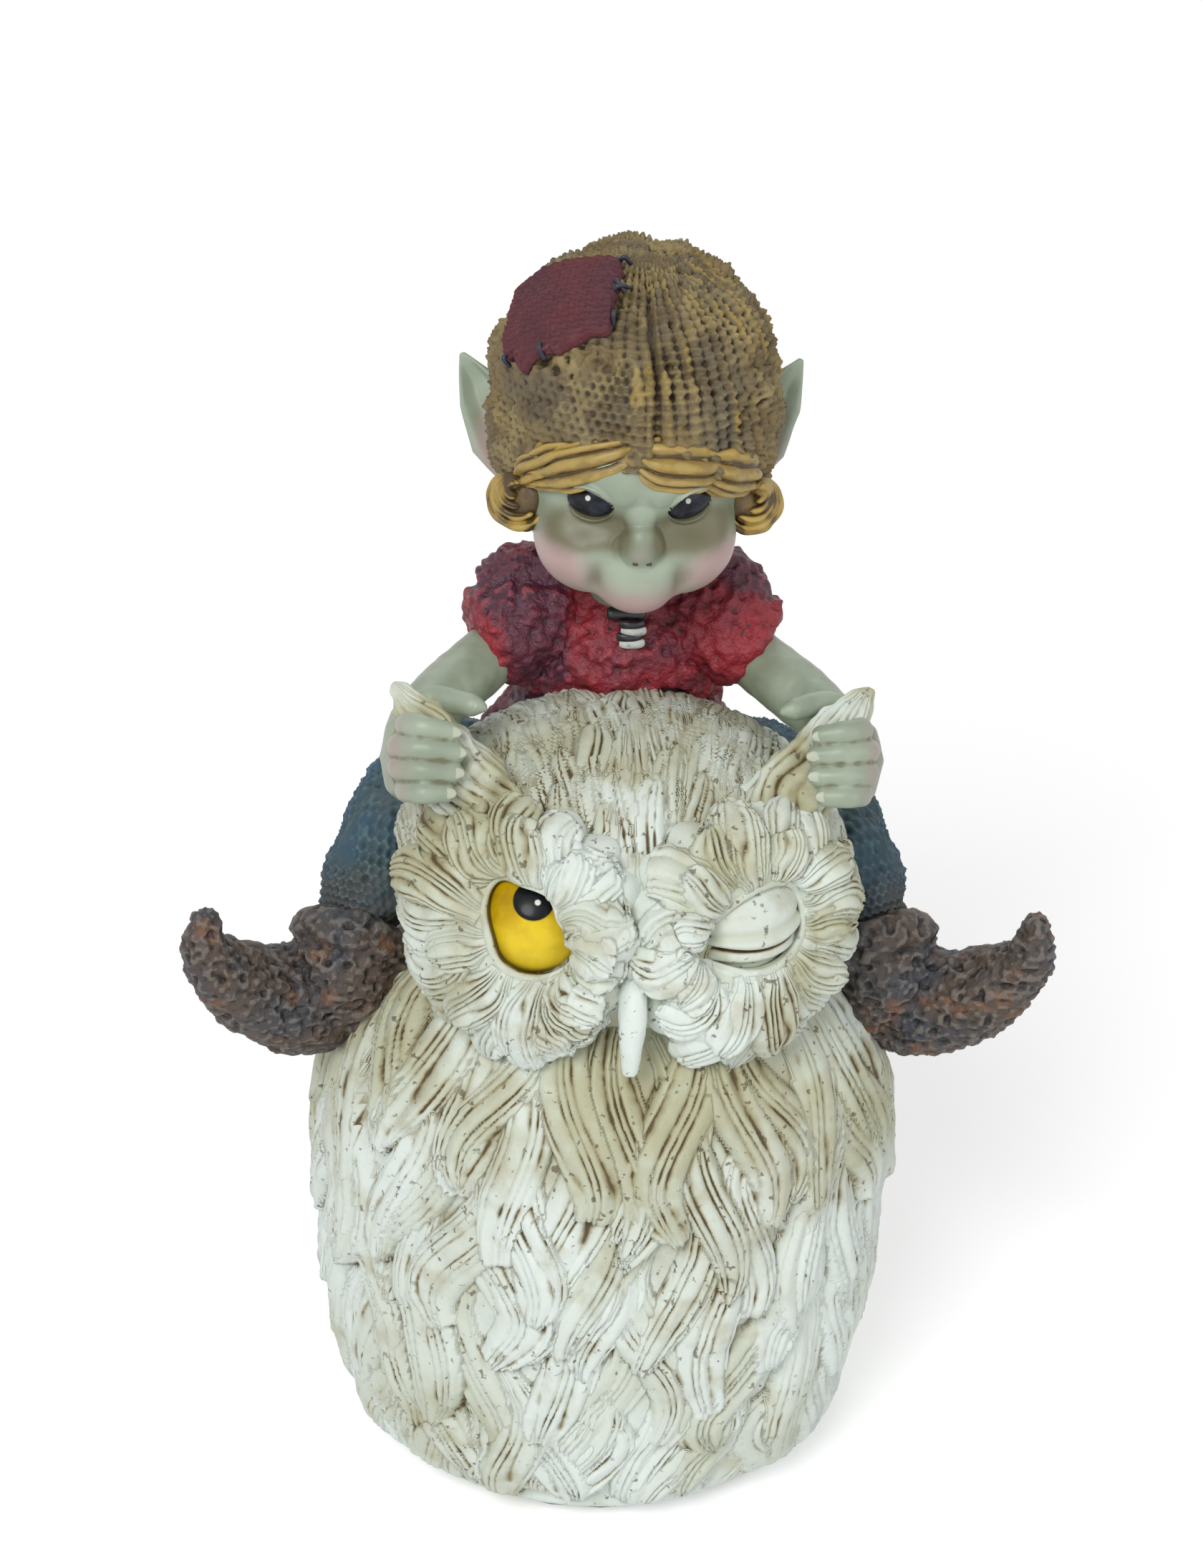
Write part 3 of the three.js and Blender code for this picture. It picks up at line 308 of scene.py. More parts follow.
class Paint:  # a material being mixed, coat over coat
    def __init__(self, name, owners=bpy.data.materials, shader="Principled BSDF", **constants):
        self.owner = owners.new(name)
        self.owner.use_nodes = True
        self.tree = self.owner.node_tree
        self.shader = self.tree.nodes[shader]
        self.coords = None
        for socket, value in constants.items():
            self.shader.inputs[socket.replace("_", " ")].default_value = value

    def place(self):
        self.coords = self.coords or self.add("ShaderNodeTexCoord", {}, {}, "Object")
        return self.coords

    def plug(self, socket, value):
        if isinstance(value, Tint):
            self.tree.links.new(value.socket, socket)
        else:
            socket.default_value = value

    def add(self, kind, settings, sockets, output=0):
        node = self.tree.nodes.new(kind)
        for key, value in settings.items():
            setattr(node, key, value)
        for key, value in sockets.items():
            self.plug(node.inputs[key], value)
        return Tint(self, node.outputs[output])

    def sum(self, operation, *values):
        return self.add("ShaderNodeMath", {"operation": operation}, dict(enumerate(values)))

    def trait(self, name):
        return self.add("ShaderNodeAttribute", {"attribute_name": name}, {}, "Fac")

    def noise(self, scale, detail=3, stretch=(1, 1, 1), shift=(0, 0, 0)):
        place = self.place()
        if stretch != (1, 1, 1) or shift != (0, 0, 0):
            place = self.add("ShaderNodeMapping", {}, {"Vector": place, "Scale": stretch, "Location": shift})
        return self.add("ShaderNodeTexNoise", {}, {"Vector": place, "Scale": scale, "Detail": detail})

    def ramp(self, value, low, high):
        settings = {"interpolation_type": "SMOOTHSTEP"}
        return self.add("ShaderNodeMapRange", settings, {"Value": value, "From Min": low, "From Max": high})

    def near(self, centre, radius, soft):  # 1 within a radius of a point in millimetres
        point = tuple(c * mm for c in centre)
        gap = self.add("ShaderNodeVectorMath", {"operation": "DISTANCE"}, {0: self.place(), 1: point}, "Value")
        return 1 - self.ramp(gap, (radius - soft) * mm, (radius + soft) * mm)

    def shown(self):  # 1 for rays that show the background, 0 for rays that light the object
        path = self.tree.nodes.new("ShaderNodeLightPath")
        rays = ("Is Camera Ray", "Is Glossy Ray", "Is Transmission Ray")
        camera, glossy, through = (Tint(self, path.outputs[ray]) for ray in rays)
        return self.sum("MAXIMUM", self.sum("MAXIMUM", camera, glossy), through)

    def mix(self, share, first, second):
        self.colour = self.add("ShaderNodeMix", {"data_type": "RGBA"}, {0: share, 6: first, 7: second}, 2)

    def base(self, value, between, first, second):  # the first coat, of two colours
        self.mix(self.ramp(value, *between), srgb(*first), srgb(*second))

    def lay(self, share, tint):
        self.mix(share, self.colour, srgb(*tint))

    def coat(self, share, value, between, tint):  # a colour laid on where a value is high
        self.lay(share * self.ramp(value, *between), tint)

    def finish(self, roughness, relief=None, depth=0.1, strength=0.5):
        self.plug(self.shader.inputs["Base Color"], self.colour)
        self.plug(self.shader.inputs["Roughness"], roughness)
        if relief is not None:
            sockets = {"Height": relief, "Distance": depth * mm, "Strength": strength}
            self.plug(self.shader.inputs["Normal"], self.add("ShaderNodeBump", {}, sockets))
        return self.owner


def plumagePaint():
    p = Paint("plumage_paint", Coat_Weight=0.05, Coat_Roughness=0.4)
    tone, brown = p.trait("tone"), p.trait("brown")
    broad, blots, fine = p.noise(60, 2), p.noise(340, 4), p.noise(1500, 3)
    strand = p.sum("ABSOLUTE", p.sum("COSINE", math.pi * p.trait("strands")))
    depth = p.ramp(p.noise(190, 3, shift=(8, 1, 3)) + 0.12 * brown, 0.42, 0.72)  # strands part deeper in places
    groove = p.trait("groove") + (0.16 + 0.64 * depth) * (1 - strand)
    p.base(0.5 * broad + 0.3 * tone + 0.5 * brown, (0.25, 0.85), (226, 235, 229), (192, 196, 170))
    p.coat(0.45, p.noise(210, 4, shift=(4, 2, 7)) + 0.3 * brown, (0.5, 0.8), (166, 156, 112))
    p.coat(0.88, groove + 0.6 * (blots - 0.5) + 0.25 * brown, (0.26, 0.82), (140, 128, 84))
    p.coat(0.92, groove + 0.9 * (blots - 0.5) + 0.25 * brown, (0.68, 0.96), (70, 52, 24))
    speck = p.ramp(p.noise(900, 2), 0.64, 0.7) * p.ramp(p.noise(110, 2) + 0.25 * brown, 0.4, 0.6)
    p.lay(0.75 * speck, (82, 66, 40))
    return p.finish(0.5 + 0.2 * fine, fine + 0.5 * blots + 1.2 * strand, 0.14, 0.6)


def owlEyePaint(centre, pupilWay, pupilRadius, radius):
    p = Paint("owl_eye_enamel", Coat_Weight=0.06, Coat_Roughness=0.1, Specular_IOR_Level=0.15)
    mottle = p.noise(500, 3)
    pupilAt = centre + pupilWay * radius
    p.base(mottle, (0.35, 0.7), (226, 190, 14), (198, 156, 10))
    # painted highlight: the lower part of the eye is laid paler yellow, as if lit from above
    p.lay(0.5 * p.near(pupilAt + vec(1, -1, -7), 6, 3), (246, 220, 66))
    p.lay(0.6 * p.near(pupilAt + vec(-5, 0, 1), 3.6, 1.4), (150, 112, 12))
    p.lay(p.near(pupilAt, pupilRadius, 0.12), (16, 19, 22))
    p.lay(p.near(pupilAt + vec(0.5, -0.3, -0.2), 0.36, 0.1), (235, 236, 228))  # the painted glint
    return p.finish(0.22 + 0.15 * mottle)


def skinPaint():
    p = Paint("skin_paint", Coat_Weight=0.18, Coat_Roughness=0.3)
    broad, fine = p.noise(160, 3), p.noise(1300, 3)
    p.base(broad, (0.3, 0.7), (162, 174, 154), (144, 157, 137))
    p.coat(0.62, p.trait("flush") + 0.35 * (broad - 0.5), (0.1, 1.0), (206, 158, 164))
    p.coat(0.88, p.trait("shade") + 0.4 * (broad - 0.5), (0.12, 1.0), (92, 86, 54))
    p.lay(p.trait("nail"), (200, 202, 180))
    return p.finish(0.42 + 0.16 * fine, fine, 0.04, 0.3)


def redClothPaint():
    p = Paint("red_cloth_paint", Coat_Weight=0.1, Coat_Roughness=0.45)
    groove = p.trait("groove")
    broad, blots, fine = p.noise(120, 4), p.noise(760, 4), p.noise(1700, 3)
    p.base(broad, (0.35, 0.65), (146, 30, 42), (108, 26, 42))
    p.coat(0.75, p.trait("tone") + 0.7 * (broad - 0.5), (0.25, 0.85), (92, 34, 52))
    p.coat(0.78, p.noise(85, 4, shift=(2, 5, 1)), (0.48, 0.6), (58, 25, 48))
    p.coat(0.85, groove + 0.8 * (blots - 0.5), (0.5, 0.95), (42, 18, 32))
    brush = p.ramp(blots - 0.6 * groove, 0.3, 0.48) * p.ramp(p.noise(60, 2), 0.42, 0.7)
    p.lay(0.5 * brush, (200, 84, 92))
    return p.finish(0.42 + 0.2 * fine, fine + 2 * blots, 0.3, 1.0)


def blueKnitPaint():
    p = Paint("blue_knit_paint", Coat_Weight=0.05, Coat_Roughness=0.5)
    groove = p.trait("groove")
    broad, blots, fine = p.noise(95, 3), p.noise(420, 4), p.noise(1500, 3)
    p.base(broad, (0.35, 0.65), (42, 76, 98), (56, 78, 84))
    p.coat(0.7, p.trait("tone") + 0.8 * (broad - 0.5), (0.3, 1.0), (78, 70, 58))
    p.coat(0.85, groove + 0.6 * (blots - 0.5), (0.5, 0.95), (20, 29, 36))
    p.coat(0.45, blots - groove, (0.2, 0.45), (94, 122, 130))
    return p.finish(0.6 + 0.2 * fine, fine, 0.12, 0.5)


def shoePaint():
    p = Paint("shoe_paint", Coat_Weight=0.05, Coat_Roughness=0.5)
    groove = p.trait("groove")
    broad, blots, fine = p.noise(130, 3), p.noise(820, 4), p.noise(1500, 3)
    p.base(broad, (0.35, 0.65), (78, 64, 54), (56, 58, 64))
    p.coat(0.75, p.noise(230, 3, shift=(3, 1, 2)), (0.54, 0.7), (118, 78, 48))
    p.coat(0.92, groove + 1.1 * (blots - 0.5), (0.46, 0.8), (22, 20, 21))
    p.coat(0.5, blots - groove, (0.22, 0.42), (128, 122, 114))
    return p.finish(0.5 + 0.2 * fine, fine + 2 * blots, 0.25, 0.9)


def hairPaint():
    p = Paint("hair_paint", Coat_Weight=0.15, Coat_Roughness=0.35)
    groove = p.trait("groove")
    broad, blots, fine = p.noise(150, 3), p.noise(520, 4), p.noise(1600, 3)
    p.base(broad, (0.35, 0.65), (166, 136, 60), (140, 116, 58))
    p.coat(0.95, groove + 0.8 * (blots - 0.5), (0.26, 0.68), (66, 48, 22))
    p.coat(0.4, blots - groove, (0.2, 0.45), (198, 172, 98))
    return p.finish(0.42 + 0.2 * fine, fine, 0.06, 0.4)


def hatKnitPaint():
    p = Paint("hat_knit_paint", Coat_Weight=0.05, Coat_Roughness=0.5)
    groove, mustard = p.trait("groove"), p.trait("tone")
    broad, blots, fine = p.noise(120, 3), p.noise(480, 4), p.noise(1500, 3)
    p.base(broad, (0.35, 0.65), (128, 110, 70), (104, 94, 74))
    p.coat(0.75, mustard + 1.3 * (blots - 0.5) - 0.6 * groove, (0.25, 0.85), (170, 144, 72))
    p.coat(0.92, groove + 0.8 * (blots - 0.5), (0.44, 0.82), (52, 42, 28))
    pit = p.ramp(p.noise(620, 2, shift=(1, 4, 2)), 0.66, 0.72) * p.ramp(p.noise(90, 2), 0.42, 0.6)
    p.lay(0.85 * pit, (34, 27, 22))
    p.coat(0.5, p.noise(330, 5, shift=(3, 1, 6)), (0.5, 0.64), (74, 60, 42))
    dust = p.ramp(blots - 0.5 * groove, 0.22, 0.4) * p.ramp(p.noise(210, 3, shift=(5, 2, 2)), 0.46, 0.62)
    p.lay(0.55 * dust, (162, 146, 100))
    return p.finish(0.62 + 0.2 * fine, fine + 2 * blots, 0.2, 0.8)


def patchPaint():
    p = Paint("patch_wine_paint", Coat_Weight=0.05, Coat_Roughness=0.5)
    groove = p.trait("groove")
    blots, fine = p.noise(460, 4), p.noise(1500, 3)
    p.base(p.noise(140, 3), (0.35, 0.65), (92, 38, 45), (76, 34, 43))
    p.coat(0.85, groove + 0.5 * (blots - 0.5), (0.42, 0.85), (40, 18, 26))
    p.coat(0.35, blots - groove, (0.25, 0.5), (146, 74, 80))
    return p.finish(0.65 + 0.2 * fine, fine, 0.1, 0.4)


def enamelPaint(name, fresh, worn, gloss):
    p = Paint(name, Coat_Weight=gloss, Coat_Roughness=0.15)
    fine = p.noise(900, 4)
    p.base(fine, (0.45, 0.75), fresh, worn)
    return p.finish(0.35 + 0.2 * fine, fine, 0.03, 0.3)


def darkEyePaint(dots):
    p = Paint("dark_eye_enamel", Coat_Weight=0.1, Coat_Roughness=0.06, Specular_IOR_Level=0.15)
    mottle = p.noise(800, 3)
    p.base(mottle, (0.3, 0.7), (20, 20, 26), (42, 46, 56))
    for place, radius in dots:
        p.lay(p.near(place, radius, 0.08), (226, 230, 222))
    return p.finish(0.18 + 0.1 * mottle)


def feltPaint():
    p = Paint("felt_nap", Sheen_Weight=0.4)
    nap = p.noise(2600, 4)
    p.base(nap, (0.3, 0.7), (44, 58, 44), (66, 80, 62))
    return p.finish(0.9 + 0.1 * nap, nap, 0.2, 0.8)


def resinPaint():
    p = Paint("bare_resin")
    grit = p.noise(900, 4)
    p.mix(grit, srgb(206, 200, 182), srgb(188, 180, 160))
    return p.finish(0.7 + 0.2 * grit, grit, 0.06, 0.4)


def steelPaint():
    p = Paint("steel_wire", Metallic=1.0)
    drawn = p.noise(1800, 3, stretch=(1, 1, 0.1))
    p.mix(drawn, srgb(176, 178, 180), srgb(140, 143, 146))
    return p.finish(0.28 + 0.2 * drawn)


# Feathers: every lock is raised out of one skin, with strands that follow its outline

lockForm = dict(widenBy=0.4, ragged=0.09, sway=(0.14, 5, 9), crowd=(0.12, 6, 20), rootHigh=0.2, fullBy=0.8,
                uneven=0.3, strandsBy=0.15)


def featherLock(line, up, width, height, strands, depth, root, tip):
    tangent = unit(np.gradient(line, axis=0))
    step = np.linalg.norm(np.diff(line, axis=0), axis=1).mean()
    return dict(line=line, up=up, tangent=tangent, side=unit(np.cross(up, tangent)), step=step, width=width,
                height=height, strands=strands, depth=depth, root=root, tip=tip,
                tone=rng.uniform(0, 1), lean=rng.uniform(-0.1, 0.1))


def raiseLocks(points, locks):  # the relief of all the locks, their tones, and a count of strands across each
    f = lockForm
    height, tone, strands = np.zeros(len(points)), np.full(len(points), 0.5), np.zeros(len(points))
    for lock in locks:
        line, width = lock["line"], lock["width"]
        near = np.flatnonzero(((points > line.min(0) - width) & (points < line.max(0) + width)).all(1))
        if not len(near):
            continue
        gap = points[near, None] - line
        nearest = (gap**2).sum(2).argmin(1)
        gap = gap[np.arange(len(near)), nearest]
        past, across, off = ((gap * lock[axis][nearest]).sum(1) for axis in ("tangent", "side", "up"))
        along = (nearest + past / lock["step"]) / (len(line) - 1)
        girth = lerp(lock["root"], 1, smoothStep(0, f["widenBy"], along))
        lane = np.floor(lock["strands"] * (across / width + lock["lean"] / 2) + 0.5)
        ragged = hashed(lane, lock["tone"])  # each strand has its own length and height
        pastTip = np.clip((along * (1 + f["ragged"] * ragged) - lock["tip"]) / (1 - lock["tip"]), 0, 1)
        girth *= np.sqrt(np.clip(1 - pastTip**2, 0, 1))
        u = across / np.maximum(girth * width / 2, 1e-6)
        inside = (np.abs(u) < 1) & (along > 0) & (along < 1) & (np.abs(off) < width)
        u, along, near, ragged = u[inside], along[inside], near[inside], ragged[inside]
        wavy = u + lock["lean"]
        for (size, pitch, shift), x in ((f["sway"], along), (f["crowd"], u)):
            wavy = wavy + size * np.sin(pitch * x + shift * lock["tone"])
        count = 0.5 * lock["strands"] * wavy
        strand = lock["depth"] * np.abs(np.cos(math.pi * count)) * (1 + f["uneven"] * ragged)
        rise = lock["height"] * lerp(f["rootHigh"], 1, smoothStep(0, f["fullBy"], along)) * np.sqrt(1 - u**4)
        rise += strand * smoothStep(0, f["strandsBy"], along) * (1 - u**6)
        higher = rise > height[near]
        height[near[higher]] = rise[higher]
        tone[near[higher]] = lock["tone"]
        strands[near[higher]] = count[higher]
    return height, tone, strands


def paintPlumage(shape, relief, depth, tone, strands, brown, rounds=8, wash=0):  # brown wash settles in the hollows
    groove = np.clip(wash + 1.3 * shape.sunken(relief, rounds) / depth, 0, 1)
    return shape.traits(groove=groove, strands=strands, tone=tone, brown=brown)


# Owl's body

owlBody = dict(foot=58, bellyWide=76, bellyDeep=72, bellyHigh=44, top=84, fullness=2.6, footHigh=1.5, footEdge=0.4,
               recess=24.2, recessTop=5.0, around=500, rings=198, frontCrowd=0.6, crownFrom=76, crownRings=0.3,
               underRings=0.1, sink=1.5, pores=(0.07, 1.1), washDepth=1.2, brownFrom=(40, 66))
mainLock = dict(count=21, rows=8, low=21, step=9.5, width=10.5, length=21, height=2, sway=2.4, drift=3, tipFrom=0.7,
                sink=0.45, shoulder=(64, 52), shoulderYaw=(30, 60), fade=6, share=(0.2, 0.6))
longLock = dict(tops=(20, 88, 11), crown=81, around=24, long=(24, 36), wide=(6.5, 10.5), high=(1.2, 2.6), swing=4,
                drift=3.5, strandDepth=0.6, strandWide=(1.4, 2.8), root=0.45, tip=0.62, underWing=0.25)
owlWing = dict(width=28, thick=9, top=66, tip=13, yaws=(112, 124, 150), clear=(26, 34), spread=1.15,
               rows=((0.04, 0.36, 6), (0.2, 0.58, 6), (0.38, 0.98, 5)), quillWide=6.5, around=170, rings=190)
owlTail = dict(width=22, thick=8, top=32, tip=6, feathers=5, clear=(24, 32), fade=8, quillWide=6.4,
               around=140, rings=130)
depthShare = owlBody["bellyDeep"] / owlBody["bellyWide"]


def bodyRadius(height):
    s = owlBody
    belly, foot = s["bellyWide"] / 2, s["foot"] / 2
    rise = np.clip((height - s["bellyHigh"]) / (s["top"] - s["bellyHigh"]), 0, 1)
    drop = np.clip((s["bellyHigh"] - height) / (s["bellyHigh"] - s["footHigh"]), 0, 1)
    above = belly * (1 - rise ** s["fullness"]) ** (1 / s["fullness"])
    return np.where(height > s["bellyHigh"], above, foot + (belly - foot) * np.sqrt(1 - drop**2))


def onBody(yaw, height):
    yaw = math.radians(yaw)
    radius = float(bodyRadius(height))
    return vec(math.sin(yaw) * radius, -math.cos(yaw) * radius * depthShare, height)


def bodyProfile():  # the outline from the crown to the recess for the base plate, and where its rings fall
    s = owlBody
    arc = np.linspace(math.pi / 2, 0, 240)
    power = 2 / s["fullness"]
    belly, foot, mid = s["bellyWide"] / 2, s["foot"] / 2, s["bellyHigh"]
    high = np.stack([belly * np.cos(arc) ** power, mid + (s["top"] - mid) * np.sin(arc) ** power], 1)
    low = np.stack([foot + (belly - foot) * np.sin(arc), mid - (mid - s["footHigh"]) * np.cos(arc)], 1)
    under = [[foot - s["footEdge"], s["footHigh"]], [s["recess"], s["footHigh"]],
             [s["recess"], s["recessTop"]], [0, s["recessTop"]]]
    line = np.vstack([[[0, s["top"]]], high, low, under])
    length = np.linalg.norm(np.diff(line, axis=0), axis=1)
    length[line[1:, 1] > s["crownFrom"]] *= s["crownRings"]
    length[-len(under):] *= s["underRings"]
    mark = np.concatenate([[0], np.cumsum(length)])
    return line, mark / mark[-1]


def wingMask(yaw, height):  # 1 where the body is clear of the wings and the tail
    aside = np.abs(yaw)
    top, tip = owlWing["top"], owlWing["tip"]
    middle = (top + tip) / 2
    high, mid, low = owlWing["yaws"]
    upper, lower = (top - height) / (top - middle), (middle - height) / (middle - tip)
    wingYaw = np.where(height > middle, lerp(high, mid, upper), lerp(mid, low, lower))
    overTail = smoothStep(owlTail["top"], owlTail["top"] + owlTail["fade"], height)
    besideTail = smoothStep(*owlTail["clear"], 180 - aside)
    return smoothStep(*owlWing["clear"], np.abs(aside - wingYaw)) * lerp(besideTail, 1, overTail)


def lockMask(yaw, height):  # where the solid's main locks stand, clear of the shoulders too
    s = mainLock
    shoulder = lerp(*s["shoulder"], smoothStep(*s["shoulderYaw"], np.abs(yaw)))
    return wingMask(yaw, height) * (1 - smoothStep(shoulder - s["fade"], shoulder, height))


def mainLocks(yaw, height):  # the relief of the solid's own locks
    s = mainLock
    rise = np.zeros(len(yaw))
    radius = bodyRadius(height)
    for row in range(s["rows"]):
        for i in range(s["count"]):
            vary = [hashed(row * s["count"] + i, kind) for kind in range(6)]
            rootYaw = (i + 0.5 * (row % 2) + 0.2 * vary[1]) * 360 / s["count"]
            share = (s["low"] + s["step"] * row + 1.5 * vary[2] - height) / (s["length"] * (1 + 0.12 * vary[3]))
            turn = (yaw - rootYaw + 180) % 360 - 180
            near = np.flatnonzero((share >= 0) & (share <= 1) & (np.abs(turn) < 40))
            share, turn = share[near], turn[near]
            drift = s["drift"] * vary[5] * share + s["sway"] * vary[4] * np.sin(2 * math.pi * share)
            tip = np.clip((share - s["tipFrom"]) / (1 - s["tipFrom"]), 0, 1)
            half = s["width"] / 2 * np.minimum(1, 0.55 + 1.5 * share) * np.sqrt(1 - tip**2)
            u = np.clip((np.radians(turn) * radius[near] - drift) / np.maximum(half, 1e-6), -1, 1)
            rise[near] = np.maximum(rise[near], s["height"] * (0.2 + 0.8 * share) * np.sqrt(1 - u**4))
    return rise - s["sink"] * s["height"]


def bodyLock(yaw, top, length, width):  # a long lock that swings to one side and back
    s = longLock
    share = np.linspace(0, 1, 16)
    heights = top - min(length, top - 3) * share
    swing = rng.choice([-1, 1]) * rng.uniform(0.4, 1) * s["swing"]
    drift = rng.uniform(-s["drift"], s["drift"]) * share
    drift = drift + swing * np.sin(2 * math.pi * share * rng.uniform(0.7, 1.05))
    line, up = [], []
    for d, h in zip(drift, heights):
        at = yaw + math.degrees(d / max(float(bodyRadius(h)), 8))
        line.append(onBody(at, h))
        up.append(unit(np.cross(onBody(at + 1, h) - onBody(at - 1, h), onBody(at, h + 0.5) - onBody(at, h - 0.5))))
    pitch = lerp(*s["strandWide"], 0.5 - 0.5 * math.cos(math.radians(yaw)))
    return featherLock(np.array(line), np.array(up), width, rng.uniform(*s["high"]), max(3, round(width / pitch)),
                       s["strandDepth"], s["root"], s["tip"])


def makeOwlBody(paint):
    s, t = owlBody, longLock
    shape, turn, drop = ballGrid(s["around"], s["rings"])
    line, mark = bodyProfile()
    radius, height = np.interp(drop, mark, line[:, 0]), np.interp(drop, mark, line[:, 1])
    yaw = turn - s["frontCrowd"] * np.sin(turn)
    facing = np.stack([np.sin(yaw), -np.cos(yaw) * depthShare, 0 * yaw], 1)
    points = facing * radius[:, None] + np.outer(height, upward)
    onSide = (radius > s["foot"] / 2 - 0.1) | (height > s["bellyHigh"])
    foot = smoothStep(s["footHigh"] + 1, s["footHigh"] + 4, height) * onSide
    locks = []
    for row, top in enumerate(np.arange(*t["tops"])):
        for i in range(t["around"]):
            at = (i + 0.5 * (row % 2) + rng.uniform(-0.3, 0.3)) * 360 / t["around"]
            start = min(top + rng.uniform(-4, 4), t["crown"])
            locks.append(bodyLock(at, start, rng.uniform(*t["long"]), rng.uniform(*t["wide"])))
    fine, tone, strands = raiseLocks(points, locks)
    yaw = np.degrees(yaw)
    rise = shape.spread(mainLocks(yaw, height) * lerp(*mainLock["share"], lockMask(yaw, height)), 12)
    relief = (rise + fine * lerp(t["underWing"], 1, wingMask(yaw, height)) - s["sink"]) * foot
    shape.move(points + facing * relief[:, None])
    shape.lift(rough(shape.points, [s["pores"]]) * foot)
    brown = 0.5 * smoothStep(*s["brownFrom"], height) + 0.35 * grain(shape.points, 14) - 0.05
    paintPlumage(shape, relief, s["washDepth"], tone, strands * (foot > 0.3), brown, 12)
    return shape.add("owlBodyPlumage", paint, "plumage", "owl_body")


# Owl's head

owlHead = dict(centre=vec(0, -5, 88), radii=vec(29, 25, 22), around=330, rings=190, crownStep=3, crownWide=27,
               crownRows=(-12, 200, 13), lockLength=15, lockWidth=4.6, lockHeight=0.7, strandDepth=0.5, sink=0.45)


def onHead(yaw, pitch):
    return onBall(owlHead["centre"], owlHead["radii"], yaw, pitch)


def crownLock(x, start, length):  # a lock that lies back over the crown and fans out
    s = owlHead
    count = 11
    k = math.sqrt(max(1 - (x / s["radii"][0]) ** 2, 0.02))
    turn = np.radians(start) + np.linspace(0, length / (s["radii"][2] * k), count)
    x = x * (1 + 0.16 * np.linspace(0, 1, count)) + 0.6 * np.sin(np.linspace(0, 4, count) + start)
    way = np.stack([x / s["radii"][0], -k * np.cos(turn), k * np.sin(turn)], 1)
    return featherLock(s["centre"] + way * s["radii"], unit(way / s["radii"]), s["lockWidth"] * rng.uniform(0.8, 1.3),
                       s["lockHeight"] * rng.uniform(0.6, 1.3), 4, s["strandDepth"], 0.7, 0.75)


def makeOwlHead(paint):
    s = owlHead
    shape = ballGrid(s["around"], s["rings"])[0]
    points = s["centre"] + shape.points * s["radii"]
    shape.move(points)
    locks = []
    for row, start in enumerate(np.arange(*s["crownRows"])):
        for x in np.arange(-s["crownWide"], s["crownWide"] + 0.1, s["crownStep"]):
            shift = s["crownStep"] * (0.5 * (row % 2) + rng.uniform(-0.35, 0.35))
            length = s["lockLength"] * rng.uniform(0.7, 1.25)
            locks.append(crownLock(np.clip(x + shift, -28, 28), start + rng.uniform(-8, 8), length))
    relief, tone, strands = raiseLocks(points, locks)
    shape.lift(relief - s["sink"])
    paintPlumage(shape, relief, 0.8, 0.6 * tone, strands, 0.45 + 0.3 * grain(points, 12))
    return shape.add("owlHeadPlumage", paint, "plumage", "owl_head")


owlEyes = dict(pitch=10, radius=7.2, proud=3.6, pupilAt=(1.48, 4.18), pupilRadius=2.6, pupilHigh=0.2,
               slit=0.7, slitDrop=2.0, slitSlope=3, lidThick=0.35, lowerLidDrop=0.3, sag=0.025,
               lip=((0.5, 0.8, 0.6), (-0.25, 2.0, 0.6)), crease=(0.25, 4.5, 2))
eyeRims = {-1: dict(yaw=28, reach=5.4, lean=0, wide=1, tall=1, shift=(1.9, 0.2), high=0.45, wash=0.9,  # open eye
                    corners=((2.1, 140, 26), (-1.0, 200, 30), (0.6, 295, 40), (-1.3, 32, 34))),
           1: dict(yaw=32, reach=6.6, lean=14, wide=1.06, tall=0.8, shift=(-0.3, 0.1), high=0.7, wash=0.25,  # wink
                   corners=((1.6, 192, 20),))}


def eyeSpot(side):
    return onHead(side * eyeRims[side]["yaw"], owlEyes["pitch"])


def eyeCentre(side):
    at, normal = eyeSpot(side)
    return at + normal * (owlEyes["proud"] - owlEyes["radius"])


def makeOpenEye():
    s = owlEyes
    normal = eyeSpot(-1)[1]
    across, above = tangents(normal)
    x, y = s["pupilAt"]
    pupilWay = unit(across * x + above * y + normal * math.sqrt(s["radius"] ** 2 - x * x - y * y))
    shape = ballGrid(110, 80)[0]
    bulge = s["pupilHigh"] * smoothStep(0.915, 0.95, shape.points @ pupilWay)  # the pupil is a raised drop of paint
    shape.move(eyeCentre(-1) + shape.points * (s["radius"] - 0.1 + bulge)[:, None])
    paint = owlEyePaint(eyeCentre(-1), pupilWay, s["pupilRadius"], s["radius"])
    return shape.add("owlOpenEye", paint, "owl_eye", "owl_open_eye")


